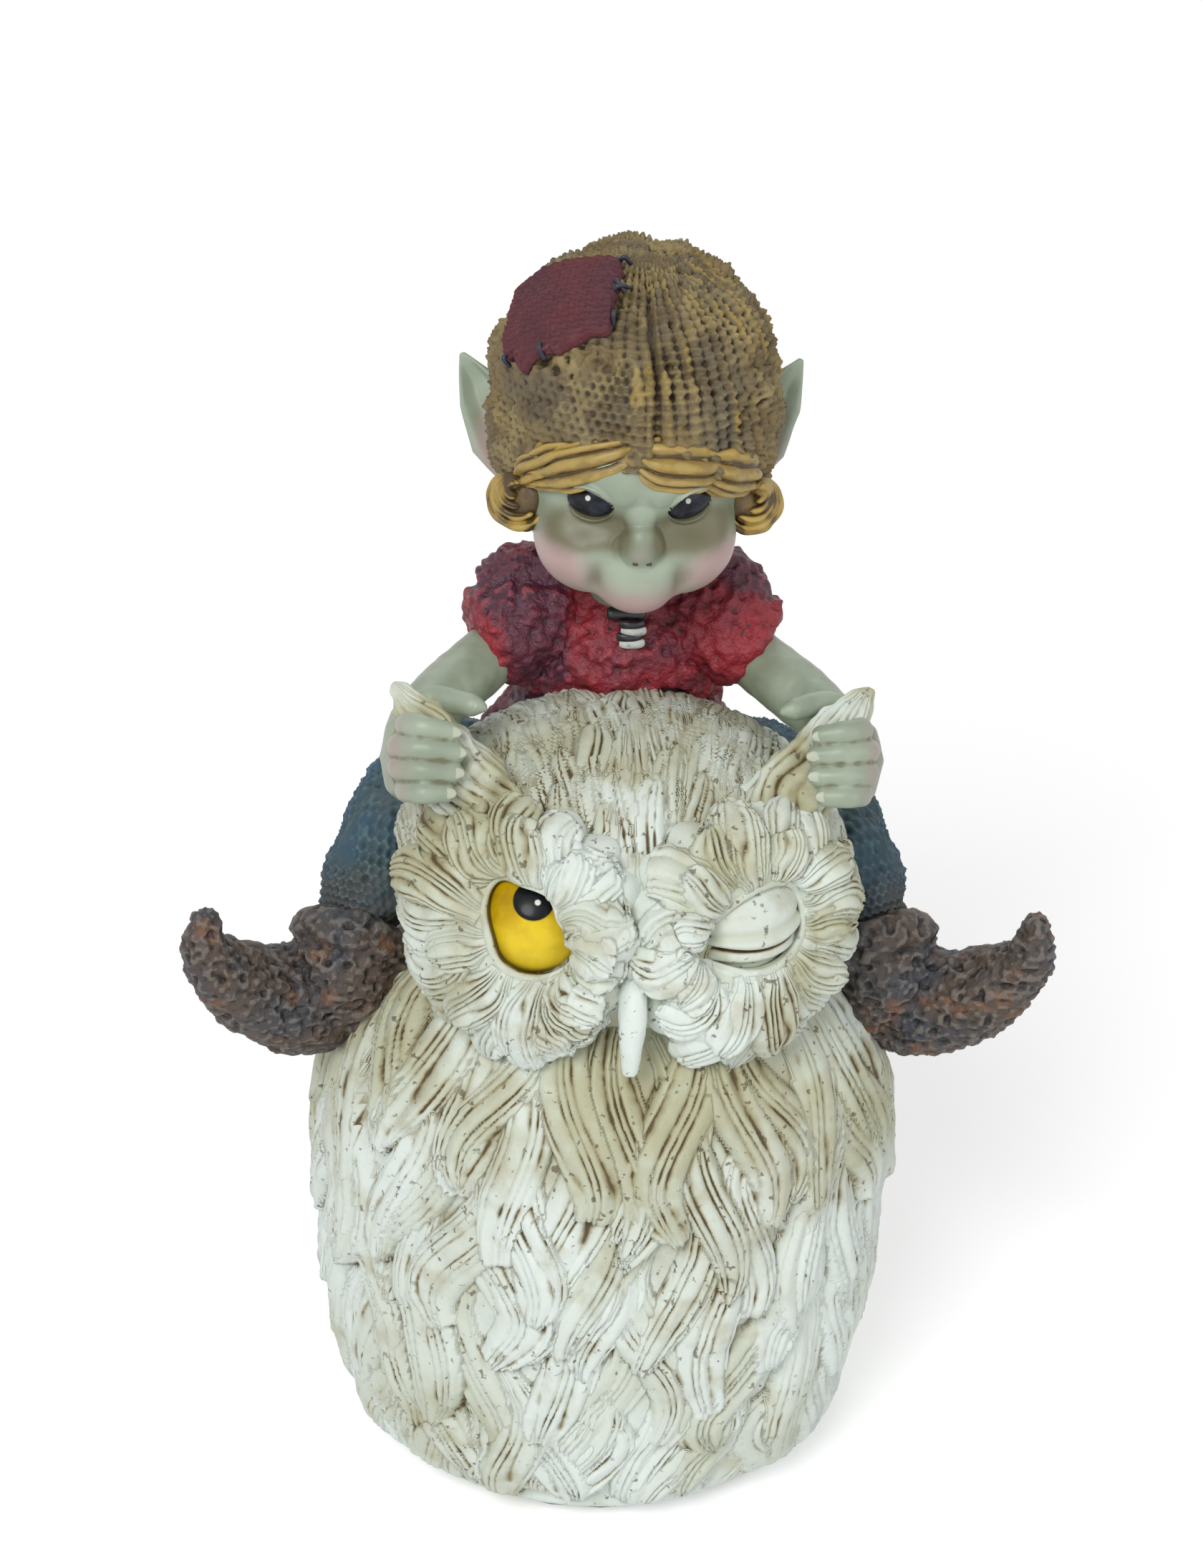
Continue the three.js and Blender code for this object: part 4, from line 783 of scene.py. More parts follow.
def makeLids(paint):
    s = owlEyes
    at, normal = eyeSpot(1)
    along, rise = turned(*tangents(normal), s["slitSlope"])
    lids = (("owlUpperLid", 1, 0, "owl_upper_lid"), ("owlLowerLid", -1, s["lowerLidDrop"], "owl_lower_lid"))
    for name, part, shrink, node in lids:
        bm = bmesh.new()
        bmesh.ops.create_uvsphere(bm, u_segments=120, v_segments=90, radius=s["radius"] + s["lidThick"] - shrink)
        bmesh.ops.translate(bm, verts=bm.verts, vec=eyeCentre(1))
        edge = at - rise * s["slitDrop"] + rise * part * s["slit"] * 0.3
        cut = dict(plane_co=edge, plane_no=rise, clear_inner=part > 0, clear_outer=part < 0)
        found = bmesh.ops.bisect_plane(bm, geom=bm.verts[:] + bm.edges[:] + bm.faces[:], **cut)
        bmesh.ops.holes_fill(bm, edges=[e for e in found["geom_cut"] if isinstance(e, bmesh.types.BMEdge)])
        shape = Shape(bm)
        gap = np.abs((shape.points - edge) @ rise)
        sag = s["sag"] * ((shape.points - at) @ along) ** 2  # the slit hangs a little in the middle
        folds = s["lip"] + ((s["crease"],) if part > 0 else ())
        lip = sum(high * bump(gap, middle, width) for high, middle, width in folds)
        out = unit(shape.points - eyeCentre(1)) * lip[:, None]
        shape.move(shape.points + out + rise * (sag * np.exp(-gap / 2) - 0.3)[:, None])
        shape.traits(groove=np.clip(0.95 - gap / 0.35, 0, 1), strands=0, brown=0.15)
        shape.traits(tone=0.35 + 0.5 * bump(gap, 1.9, 0.7))
        shape.add(name, paint, "plumage", node)


# Ruffs of feathers round the eyes

owlRuff = dict(yaw=33, pitch=10, wide=33, tall=41, browCut=0.26, thick=8, scallop=1.6, feathers=15, bend=30,
               around=520, loop=120, topShare=0.86, strandDepth=0.5, sweep=0.16, waver=0.12, rim=(0.02, 0.09))
petal = dict(start=0.2, end=(0.94, 1), wide=(6, 8), high=(0.7, 1.4), strands=6, tip=0.76)
barb = dict(start=0.04, end=(0.55, 0.95), wide=(4.8, 7.2), high=(1.3, 2.6), tip=0.72)


def ruffFrame(side):
    at, normal = onHead(side * owlRuff["yaw"], owlRuff["pitch"])
    x, y = tangents(normal)
    eye = eyeSpot(side)[0] - at
    return at, x, y, normal, (eye @ x, eye @ y)


def eyeOpening(side, angle):  # the outline of the eye inside the ruff, from the middle of the eye
    s = eyeRims[side]
    lean = angle - math.radians(s["lean"])
    inner = s["reach"] / np.sqrt((np.cos(lean) / s["wide"]) ** 2 + (np.sin(lean) / s["tall"]) ** 2)
    for out, at, width in s["corners"]:
        inner = inner + out * bump(np.degrees(angle) % 360, at, width)
    return s["shift"][0] + inner * np.cos(angle), s["shift"][1] + inner * np.sin(angle)


def ruffPlaces(side, angle, share, under=False):
    s, proud, radius = owlRuff, owlEyes["proud"], owlEyes["radius"]
    at, x, y, normal, eye = ruffFrame(side)
    innerX, innerY = eyeOpening(side, angle)
    scallop = s["scallop"] * np.abs(np.cos(s["feathers"] * angle / 2)) - s["scallop"]
    browCut = 1 - s["browCut"] * np.maximum(0, np.sin(angle))
    flatX = lerp(eye[0] + innerX, (s["wide"] / 2 + scallop) * np.cos(angle), share)
    flatY = lerp(eye[1] + innerY, (s["tall"] / 2 * browCut + scallop) * np.sin(angle), share)
    arch = np.sqrt(np.clip(4 * share * (1 - share), 0, 1))
    ball = proud - radius + np.sqrt(np.clip(radius**2 - innerX**2 - innerY**2, 0.5, None))
    fall = (eye[0] + innerX) ** 2 + (eye[1] + innerY) ** 2 - eye[0] ** 2 - eye[1] ** 2
    lift = (ball + 0.5 + fall / (2 * s["bend"])) * (1 - share) ** 5  # the inner edge lies on the eye
    rise = np.where(under, -0.5 * arch, arch) * s["thick"] / 2 + np.where(under, lift - 1.2 * (1 - share), lift)
    rise = rise - (flatX**2 + flatY**2) / (2 * s["bend"])
    return at + flatX[:, None] * x + flatY[:, None] * y + rise[:, None] * normal


def ruffLock(side, angle, start, end, width, height, strands, tip):
    s = owlRuff
    share = np.linspace(start, end, 10)
    sweep = s["sweep"] * np.cos(angle) * share**2 * (1 if np.sin(angle) < 0 else -1)  # petals droop out and down
    waver = rng.uniform(-s["waver"], s["waver"]) * share + 0.07 * np.sin(share * 5 + angle * 3)
    angles = angle + sweep + waver
    line = ruffPlaces(side, angles, share)
    beside = ruffPlaces(side, angles + 0.02, share)
    beyond = ruffPlaces(side, angles, share + 0.02)
    up = unit(np.cross(beyond - line, beside - line))
    up *= np.sign(up @ ruffFrame(side)[3])[:, None]
    return featherLock(line, up, width, height, strands, s["strandDepth"], 0.5, tip)


def makeRuff(side, word, paint):
    s, eye = owlRuff, eyeRims[side]
    bm = bmesh.new()
    bmesh.ops.create_grid(bm, x_segments=s["around"], y_segments=s["loop"], size=1)
    shape = Shape(bm)
    angle, loop = math.pi * shape.points[:, 0], (shape.points[:, 1] + 1) / 2
    under = loop > s["topShare"]
    share = np.where(under, (1 - loop) / (1 - s["topShare"]), loop / s["topShare"])
    crowd = np.cos(math.pi * share)
    share = np.where(under, share, 0.5 - 0.5 * crowd * (0.6 + 0.4 * np.abs(crowd)))
    points = ruffPlaces(side, angle, share, under)
    ahead = ruffPlaces(side, angle + 0.01, share, under) - ruffPlaces(side, angle - 0.01, share, under)
    far, close = np.minimum(share + 0.02, 1), np.maximum(share - 0.02, 0)
    outward = ruffPlaces(side, angle, far, under) - ruffPlaces(side, angle, close, under)
    facing = unit(np.cross(outward, ahead))
    facing *= np.where((facing @ ruffFrame(side)[3] < 0) != under, -1, 1)[:, None]
    locks = []
    t = petal
    for i in range(s["feathers"]):
        at = 2 * math.pi * i / s["feathers"] + rng.uniform(-0.05, 0.05)
        end, wide, high = (rng.uniform(*t[key]) for key in ("end", "wide", "high"))
        locks.append(ruffLock(side, at, t["start"], end, wide, high, t["strands"], t["tip"]))
    t = barb
    at = rng.uniform(0, 0.4)
    while at < 2 * math.pi + 0.1:
        wide, end, high = (rng.uniform(*t[key]) for key in ("wide", "end", "high"))
        locks.append(ruffLock(side, at, t["start"], end, wide, high, round(wide), t["tip"]))
        at += 0.1 * wide
    relief, tone, strands = raiseLocks(points, locks)
    rim = smoothStep(*s["rim"], share)  # a smooth band borders the eye
    relief = np.where(under, 0, relief * rim + eye["high"] * bump(share, 0.025, 0.02))
    shape.move(points + facing * relief[:, None])
    outer = smoothStep(0.15, 0.6, share) * bump((np.degrees(angle) + 90 + 38 * side) % 360 - 180, 0, 55)
    brown = 0.12 + 0.36 * outer + 0.45 * grain(points, 9)
    strands = np.where(under | (rim < 0.3), 0, strands)
    paintPlumage(shape, relief, 1.0, tone, strands, brown, wash=eye["wash"] * bump(share, 0, 0.012))
    bm = bmesh.new()
    bm.from_mesh(shape.mesh)
    bmesh.ops.remove_doubles(bm, verts=bm.verts, dist=0.001)
    return Shape(bm).add("owlRuff" + word.title(), paint, "plumage", "owl_ruff_" + word)


owlBeak = dict(length=14, radius=2.2, lumps=((0.12, 2.2), (0.06, 0.9)))


def makeBeak(paint):
    r, length = owlBeak["radius"], owlBeak["length"]
    root, normal = onHead(0, 0)
    bridge, low = root + vec(0, -r * 1.2, -length * 0.35), root + vec(0, -r * 1.6, -length)
    stations = [station(root - normal * r, r * 0.8), station(bridge, r * 0.85, r), station(low, r * 0.5)]
    shape, along, _ = limb(stations, 48, 60)
    relief = rough(shape.points, owlBeak["lumps"])
    shape.lift(relief)
    paintPlumage(shape, relief, 0.6, 0.1, 0, -0.2, wash=0.1 + 0.4 * smoothStep(0.25, 0.05, along))
    return shape.add("owlBeak", paint, "plumage", "owl_beak")


owlTuft = dict(yaw=46, pitch=36, length=23, radius=5.5, grip=0.48, ridges=8, lean=vec(0.58, 0.45, 0.68),
               girths=((0.3, 0.9, 0.6), (0.65, 0.6, 0.45), (1, 0.2, 0.2)), ridgeHigh=0.55, lockHigh=0.9)


def tuftWay(side):
    return unit(owlTuft["lean"] * (side, 1, 1))


def tuftRoot(side):
    return onHead(side * owlTuft["yaw"], owlTuft["pitch"])


def tuftAt(side, share):
    return tuftRoot(side)[0] + tuftWay(side) * owlTuft["length"] * share


def makeTuft(side, word, paint):
    s = owlTuft
    root, normal = tuftRoot(side)
    r = s["radius"]
    stations = [station(root - normal * r, r, r * 0.8, normal)]
    stations += [station(tuftAt(side, share), r * wide, r * thick, normal) for share, wide, thick in s["girths"]]
    shape, along, turn = limb(stations, 130, 120)
    points = shape.points
    twist = turn + 0.8 * along + 0.3 * grain(points, 6)
    strand = s["ridgeHigh"] * np.abs(np.cos(s["ridges"] * twist))
    strand += s["lockHigh"] * np.abs(np.cos(3 * twist + 0.5)) ** 0.7
    relief = 0.8 * strand * (1 - along**8) + 0.4 * grain(points, 1.5)
    shape.lift(relief - 0.6)
    paintPlumage(shape, relief, 0.45, 0.4, 0, 0.5 + 0.5 * grain(points, 4), wash=0.15)
    return shape.add("owlEarTuft" + word.title(), paint, "plumage", "owl_ear_tuft_" + word)


# Wings and tail

quill = dict(points=12, strandDepth=0.45, sink=0.4, washDepth=0.9, brown=0.4, mottle=((0.3, 12),))


def feathered(shape, locks):
    relief, tone, strands = raiseLocks(shape.points, locks)
    brown = quill["brown"] + rough(shape.points, quill["mottle"])
    shape.lift(relief - quill["sink"])
    return paintPlumage(shape, relief, quill["washDepth"], tone, strands, brown)


def makeWing(side, word, paint):
    s = owlWing
    heights = (s["top"], (s["top"] + s["tip"]) / 2, s["tip"])
    half, thick = s["width"] / 2, s["thick"] / 2
    girths = ((0.6, 1, -thick / 2), (1, 1, -thick / 4), (0.35, 0.7, 0))
    stations, slim = [], []
    for yaw, height, (wide, deep, lift) in zip(s["yaws"], heights, girths):
        level = vec(math.sin(math.radians(side * yaw)), -math.cos(math.radians(side * yaw)), 0)
        place = onBody(side * yaw, height) + level * lift
        for stops, size in ((stations, 1), (slim, 0.8)):
            stops.append(station(place, half * wide * size, thick * deep * size, level))
    middle = stations[1]
    ahead = limbPlaces(stations, np.array([0.5]), np.array([math.pi / 2]))[0] - middle["at"]
    outside = math.copysign(math.pi / 2, ahead @ middle["facing"])
    locks = []
    for start, end, count in s["rows"]:
        for i in range(count):
            fan = (i - (count - 1) / 2) / (count / 2) * s["spread"] + rng.uniform(-0.06, 0.06)
            share = np.linspace(start + rng.uniform(-0.03, 0.03), end + 0.04 * abs(fan), quill["points"])
            share = np.clip(share, 0.01, 0.99)
            turns = outside + fan * lerp(1, 0.85, share)
            line = limbPlaces(stations, share, turns)
            up = unit(line - limbPlaces(slim, share, turns))
            locks.append(featherLock(line, up, s["quillWide"], 1.3 - start, 5, quill["strandDepth"], 0.6, 0.82))
    shape = feathered(form(stations, s["around"], s["rings"]), locks)
    return shape.add("owlWing" + word.title(), paint, "plumage", "owl_wing_" + word)


def makeTail(paint):
    s = owlTail
    half, thick = s["width"] / 2, s["thick"] / 2
    stations = [station(onBody(180, s["top"]) - rear * thick, half * 0.7, thick, rear),
                station(onBody(180, (s["top"] + s["tip"]) / 2), half * 0.9, thick, rear),
                station(onBody(180, s["tip"]) + rear * thick, half, thick * 0.8, rear)]
    up = np.tile(rear, (quill["points"], 1))
    locks = []
    for i in range(s["feathers"]):
        fan = (i - (s["feathers"] - 1) / 2) * 0.5
        share = np.linspace(0.05, 0.97 - 0.04 * abs(fan), quill["points"])
        line = curveAt([t["at"] for t in stations], share)[0] + rear * thick * 0.95
        line[:, 0] += fan * half * 0.72 * lerp(0.7, 1, share)
        height = 1.4 - 0.3 * abs(fan)
        locks.append(featherLock(line, up, s["quillWide"], height, 6, quill["strandDepth"], 0.7, 0.86))
    shape = feathered(form(stations, s["around"], s["rings"]), locks)
    return shape.add("owlTail", paint, "plumage", "owl_tail")


# Rider's tunic

tunic = dict(seatBack=21, seatHigh=77, tall=44, lean=10, hemWide=43, waistWide=28, chestWide=28, depth=19, sleeve=6.8,
             shoulderWide=36, folds=9, foldDepth=0.7, yokeLow=108.5, yokeHigh=1.1, yokeTop=(118, 113), voxel=0.4,
             tongue=((84, 4.5), (78, 3.6), (75.8, 2.6)), weave=((0.2, 2.6), (0.5, 1.0, 5.0)),
             slope=((3, -1.5, 0.7), (12, -0.2, 0.68), (17, -4, 0.72)))
neckRadius = 5


def tunicLevel(share):
    return vec(0, tunic["seatBack"] - tunic["lean"] * share, tunic["seatHigh"] + tunic["tall"] * share)


neckTop = tunicLevel(1)
shoulderHigh = neckTop[2] - tunic["sleeve"] / 2


def sleeveMouth(side):
    r = tunic["sleeve"]
    return vec(side * tunic["shoulderWide"] / 2, neckTop[1] - r * 0.22, shoulderHigh - r * 0.7)


def makeTunic(paint):
    s = tunic
    half, r, collar = s["depth"] / 2, s["sleeve"], neckRadius * 1.3
    girths = ((0, s["hemWide"] / 2, half * 1.1), (0.3, s["hemWide"] * 0.51, half * 1.05),
              (0.57, s["waistWide"] / 2, half), (0.8, s["chestWide"] / 2, half), (1, collar, collar))
    trunk = [station(tunicLevel(share), wide, deep, front) for share, wide, deep in girths]
    tongue = stops([(vec(0, s["seatBack"] + 1.3, high), girth) for high, girth in s["tongue"]], front)
    forms = [form(trunk, 80, 80), form(tongue, 40, 30)]  # the tongue at the back covers the pin of the seat
    for side in sides.values():
        mouth = sleeveMouth(side)
        root = vec(side * s["chestWide"] / 4, neckTop[1] + r * 0.22, shoulderHigh)
        puff = lerp(root, mouth, 0.5)
        puff[2] = shoulderHigh - r * 0.2
        forms.append(form(stops([(root, r * 0.85), (puff, r), (mouth, r * 0.97)]), 60, 50, 7))
        slope = stops([(neckTop + vec(side * x, 2, z), r * girth) for x, z, girth in s["slope"]])
        forms.append(form(slope, 50, 40))  # the cape's shoulder rises beside the jaw
    shape = fuse(forms, s["voxel"], 6)
    points = shape.points
    x, y, z = points.T
    yaw = np.arctan2(x, -(y - s["seatBack"] + 5))
    low = smoothStep(neckTop[2] - 10, s["seatHigh"], z)
    folds = s["foldDepth"] * low * np.sin(s["folds"] * yaw + 1.5 * grain(points, 14))
    hem = s["yokeLow"] + 1.6 * grain(points, 6) - 3.2 * bump(np.abs(x), 15, 8)  # the cape's edge sags over the arms
    yoke = s["yokeHigh"] * smoothStep(hem - 0.6, hem + 0.7, z) * smoothStep(*s["yokeTop"], z)
    shape.lift(folds + rough(points, s["weave"]) + yoke - 0.3)
    shape.groove(0.5, 6)
    shape.traits(tone=smoothStep(hem + 0.8, hem - 1, z))
    return shape.add("pixieTunic", paint, "red_cloth", "pixie_tunic")


toggle = dict(length=5, radius=1.0, loops=2, loopHalf=(-1.6, -0.7, 0.7, 1.6), loopWide=0.38, loopThick=0.6)


def makeToggle(dark, pale):
    s = toggle
    at = vec(0, neckTop[1] - tunic["depth"] * 0.3, neckTop[2] - s["radius"] * 1.9)
    ends = ((-0.5, 1), (0, 0.8), (0.5, 1))
    bar = form(stops([(at + vec(s["length"] * x, 0, 0), s["radius"] * girth) for x, girth in ends]), 32, 40)
    bar.add("tunicToggle", dark, "toggle_black", "tunic_toggle")
    loops = []
    for i in range(2 * s["loops"]):
        middle = at + vec(0.7 + 0.3 * math.sin(2.2 * i), -1.2 - 0.1 * i, -1.0 - 0.85 * i)
        line = [middle + vec(x, 0.5 * abs(x) - 0.5, 0.1 * math.sin(3 * i) * x) for x in s["loopHalf"]]
        loops.append(form([station(place, s["loopWide"], s["loopThick"]) for place in line], 20, 30))
    joined(loops[::2]).add("toggleCord", dark, "toggle_black")
    joined(loops[1::2]).add("toggleLoops", pale, "toggle_black")


# Rider's legs and shoes

leg = dict(radius=6.4, kneeDrop=3, kneeBack=9, shinDrop=9, shinForward=7, length=44, stitch=1.3, stitchDepth=0.4,
           girths=(1.15, 1.15, 1.05, 0.95))
shoe = dict(heel=8, heelDrop=10.5, length=17.5, forward=12, curl=20.5, toe=1.9, cuffWall=1.4, cuffRise=1.2,
            cuffHigh=1.1, voxel=0.34, bark=0.22, lumps=((0.24, 0.75, 9.0), (0.2, 3.4, 1.0)), pits=0.5)
kneeHigh = owlHead["centre"][2] - leg["kneeDrop"]
kneeBack = owlHead["centre"][1] + leg["kneeBack"]
ankleHigh = kneeHigh - leg["shinDrop"]


def hip(side):
    r = leg["radius"]
    return vec(side * tunic["hemWide"] / 3, tunic["seatBack"] + r * 0.15, tunic["seatHigh"] + r * 1.9)


def knee(side):
    return vec(side * (owlHead["radii"][0] + leg["radius"] * 0.23), kneeBack, kneeHigh)


def thigh(side):
    return lerp(hip(side), knee(side), 0.5) + vec(side * 0.3, 0.45, 0.15) * leg["radius"]


def ankle(side):
    return vec(side * (float(bodyRadius(ankleHigh)) + leg["radius"]), kneeBack - leg["shinForward"], ankleHigh)


def inShoe(side, share, rise):
    out = shoe["heel"] * 0.2
    heel = ankle(side) + vec(side * out, out, -shoe["heelDrop"])
    return heel + vec(side * shoe["length"] * share, -shoe["forward"] * share, shoe["curl"] * rise)


def makeLeg(side, word, paint):
    s = leg
    outward = vec(side * 0.8, 0.6, 0)
    places = (hip(side), thigh(side), knee(side), ankle(side))
    girths = s["radius"] * np.array(s["girths"])
    shape, along, turn = limb(stops(zip(places, girths), outward), 180, 180)
    points = shape.points
    course = along * s["length"] / s["stitch"]
    wales = np.cos(turn * round(2 * math.pi * s["radius"] / s["stitch"]) + math.pi * np.floor(course))
    stitches = s["stitchDepth"] * (0.5 * wales + 0.35 * np.cos(2 * math.pi * course)) * (0.7 + 0.6 * grain(points, 3))
    creases = 0.5 * grain(points * vec(1, 1, 1.6), 5, 7.0) + 0.35 * grain(points, 1.5)
    shape.lift(stitches + creases - 0.25)
    shape.groove(0.42, 6)
    shape.traits(tone=smoothStep(0.62, 0.95, along) + 0.8 * smoothStep(0.25, 0.05, along))
    return shape.add("pixieLeg" + word.title(), paint, "blue_cloth", "pixie_leg_" + word)


def makeShoe(side, word, paint):
    s = shoe
    r = s["heel"]
    girths = ((0, 0, 1), (0.4, 0.14, 0.93), (0.76, 0.38, 0.7), (1, 0.71, 0.43), (1, 1, s["toe"] / r))
    foot = stops([(inShoe(side, share, rise), r * girth) for share, rise, girth in girths], front)
    wide = leg["radius"] * 0.95 + s["cuffWall"]
    heel, top = inShoe(side, 0, 0), ankle(side)
    shin = unit(knee(side) - top)
    cuff = stops([(at, wide) for at in (heel, top - shin * wide / 2, top + shin * s["cuffRise"])], front)
    shape = fuse([form(foot, 60, 70), form(cuff, 60, 40)], s["voxel"], 5)
    points = shape.points
    collar = s["cuffHigh"] * smoothStep(-3.4, -1.8, (points - top) @ shin + grain(points, 2.5))
    bark = s["bark"] * grain((points - heel) * vec(0.6, 1, 1.5), 1.2, 3.0)
    pits = s["pits"] * smoothStep(0.35, 0.7, grain(points, 1.3, 5.0))
    shape.lift(bark + rough(points, s["lumps"]) - pits + collar - 0.15)
    shape.groove(0.3, 5)
    return shape.add("pixieShoe" + word.title(), paint, "shoe_brown", "pixie_shoe_" + word)


# Rider's arms

arm = dict(radius=4.1, wrist=3.3, palmTall=11, palm=4, finger=1.5, reaches=(0, -0.12, -0.08, 0.1), voxel=0.27,
           palmGirths=((-1, 0.3), (-0.75, 0.72), (0, 1), (0.75, 0.72), (1, 0.3)), thumbGirths=(1.25, 1.15, 1, 0.3),
           fingerGirths=(1.05, 1.1, 0.98, 0.84, 0.6, 0.15), lumps=((0.1, 3.5), (0.05, 1.2)), nailThick=0.22,
           nail=((-1, 0.15), (-0.75, 0.5), (0, 0.72), (0.7, 0.5), (0.95, 0.15)))
gripReach = owlTuft["radius"] * 0.75 + arm["finger"]
stackWay = unit(vec(0, 0.45, 0.89))
gripForward = np.cross(vec(1, 0, 0), stackWay)


def inGrip(side, out, ahead, high):  # a place in the grip: outward, forward and up the stack of fingers
    return tuftAt(side, owlTuft["grip"]) + vec(side * out, 0, 0) + gripForward * ahead + stackWay * high


def makeArm(side, word, paint):
    s = arm
    outward = vec(side, 0, 0)
    half, r, f = s["palmTall"] / 2, s["radius"], s["finger"]

    def place(out, ahead, high):
        return inGrip(side, out * gripReach, ahead * gripReach, high)

    shoulder = sleeveMouth(side) + vec(-side * tunic["sleeve"] * 0.6, tunic["sleeve"] * 0.3, 0)
    wrist = inGrip(side, gripReach, -s["wrist"], s["palmTall"] / 6)
    elbow = lerp(shoulder, wrist, 0.5) + vec(side * r / 3, 0, -r / 5)
    palm = [(place(0.9, -0.1, high * half), s["palm"] * wide) for high, wide in s["palmGirths"]]
    thumb = [place(0.8, -0.4, half), place(0.3, -0.5, half + f), place(-0.6, 0.1, half + f * 0.6),
             place(-0.9, 0.2, half + f * 0.35)]
    forms = [form(stops([(shoulder, r), (elbow, r), (wrist, s["wrist"])]), 40, 50),
             form(stops(palm, outward, 0.8), 40, 36), form(stops(zip(thumb, f * np.array(s["thumbGirths"]))), 24, 40)]
    pitch = (s["palmTall"] - 2 * f) / (len(s["reaches"]) - 1)
    tips, knuckles = [(thumb[2], thumb[1])], []
    for i, reach in enumerate(s["reaches"]):
        up = half - f - i * pitch
        swell = 1 - 0.16 * ((i - 1.5) / 1.5) ** 2
        line = [place(1.1 * swell, 0.25, up), place(swell, 0.85, up), place(0.5, 1.15, up - f * 0.15),
                place(-0.1 + reach, 1.08, up * 0.94 - f * 0.35)]
        tipWay = unit(line[3] - line[2])
        line += [line[3] + tipWay * f * 0.5, line[3] + tipWay * f * 0.75]
        forms.append(form(stops(zip(line, f * np.array(s["fingerGirths"])), gripForward, 0.9), 24, 50))
        tips.append((line[3], line[2]))
        knuckles.append(line[1])
    shape = fuse(forms, s["voxel"], 2)
    points = shape.points
    shape.lift(rough(points, s["lumps"]))
    gap = np.min([np.linalg.norm(points - knuckle, axis=1) for knuckle in knuckles], axis=0)
    flush = 0.6 * bump(gap, 0, 5) * smoothStep(-4, 2, (points - knuckles[1]) @ outward)
    upper = smoothStep(11, 22, np.linalg.norm(points - place(0.9, 0, 0), axis=1))  # the arm is darker than the fist
    shape.traits(flush=flush, shade=0.18 + 0.26 * upper + np.clip(shape.hollows(8) / 0.13, 0, 1), nail=0)
    whole = [shape]
    for tip, behind in tips:
        along = unit(tip - behind)
        ahead = unit(gripForward - along * (gripForward @ along))
        middle = tip + along * 0.1 + ahead * f * 0.58
        nail = form([station(middle + along * x, wide, s["nailThick"], ahead) for x, wide in s["nail"]], 20, 20)
        whole.append(nail.traits(nail=0.6, shade=0.1, flush=0))
    return joined(whole).add("pixieArm" + word.title(), paint, "skin", "pixie_arm_" + word)


# Rider's head: lumps as yaw, pitch, sink and radius, spots as size, yaw, pitch, width and height

skull = dict(centre=neckTop + vec(0, -2, 18), radii=vec(14.75, 17, 17), around=330, rings=240, blend=0.7,
             middleLumps=((1, -36, 1.32, 5.676), (0, -52, 4.2, 5.6), (1, -13, 0, 2.86), (0, -3, 1.3, 2.0)),
             sideLumps=((34, -26, 3.996, 7.4), (7, -15, 0.5, 1.7), (20, 16, 3.4, 6.0), (9, 9, 1.0, 1.6)),
             hollows=((1.6, 22, 2, 11 / 0.9, 11), (0.9, 23, -9, 8 / 0.7, 8 / 1.5), (0.9, 18, -28, 6 / 1.3, 10)),
             shade=((0.7, 9, -8, 5, 9), (0.6, 18, -30, 5, 8), (0.45, 30, -8, 20, 14)),
             flush=((1.2, 36, -24, 16, 12), (0.7, 0, -42, 20, 13), (0.175, 0, -14, 8, 5)), skin=(0.06, 2.5))
pixieEye = dict(yaw=22, pitch=3, wide=3.2, tall=1.95, tilts={1: 11, -1: 1}, bulge=1.0, sink=0.72, glint=0.34,
                rim=0.8, pit=0.9)


def onSkull(yaw, pitch):
    return onBall(skull["centre"], skull["radii"], yaw, pitch)


def onFace(yaw, pitch):
    return faceSurface(np.array([yaw]), np.array([pitch]))[0]


def eyeFrame(side):  # the middle of an eye on the face, its long axis, its upward axis and its facing
    facing = unit(vec(side * 0.36, -0.9, 0.12))
    level = unit(np.cross(facing, upward)) * -side
    up = np.cross(level, facing)
    up *= np.sign(up[2])
    return onFace(side * pixieEye["yaw"], pixieEye["pitch"]), *turned(level, up, pixieEye["tilts"][side]), facing


def almond(u, v):  # under 1 inside the eye's outline
    s = pixieEye
    lift = np.sqrt(np.clip(1 - (u / s["wide"]) ** 2, 0, None))
    return np.maximum(np.abs(u) / s["wide"], np.abs(v) / np.maximum(s["tall"] * lift**1.15, 1e-3))


def bothSides(spots, yaw, pitch):  # soft spots on both halves of the face
    return sum(size * spot(yaw, pitch, side * at, high, wide, tall)
               for side in sides.values() for size, at, high, wide, tall in spots)


def mouthLine(yaw, pitch, width):
    return 0.5 * bump(pitch + 45 - 0.004 * yaw**2, 0, width) * smoothStep(24, 15, np.abs(yaw))


def faceSurface(yaw, pitch):  # the head's skin: soft lumps joined to the skull
    s = skull
    way = onBall(np.zeros(3), np.ones(3), yaw, pitch)[0]
    total = np.exp(1 / np.linalg.norm(way / s["radii"], axis=1) / s["blend"])
    pairs = [(side * at, *lump) for side in sides.values() for at, *lump in s["sideLumps"]]
    for yawAt, pitchAt, sink, radius in (*s["middleLumps"], *pairs):
        place, normal = onSkull(yawAt, pitchAt)
        middle = place - normal * sink - s["centre"]
        ahead = way @ middle
        aside = np.linalg.norm(middle - way * ahead[:, None], axis=1)
        hit = ahead + np.sqrt(np.clip(radius**2 - aside**2, 0, None))
        total += np.exp(hit / s["blend"]) * smoothStep(radius * 1.05, radius * 0.8, aside) * (ahead > 0)
    reach = s["blend"] * np.log(total) - bothSides(s["hollows"], yaw, pitch) - mouthLine(yaw, pitch, 1.4)
    return s["centre"] + way * reach[:, None]


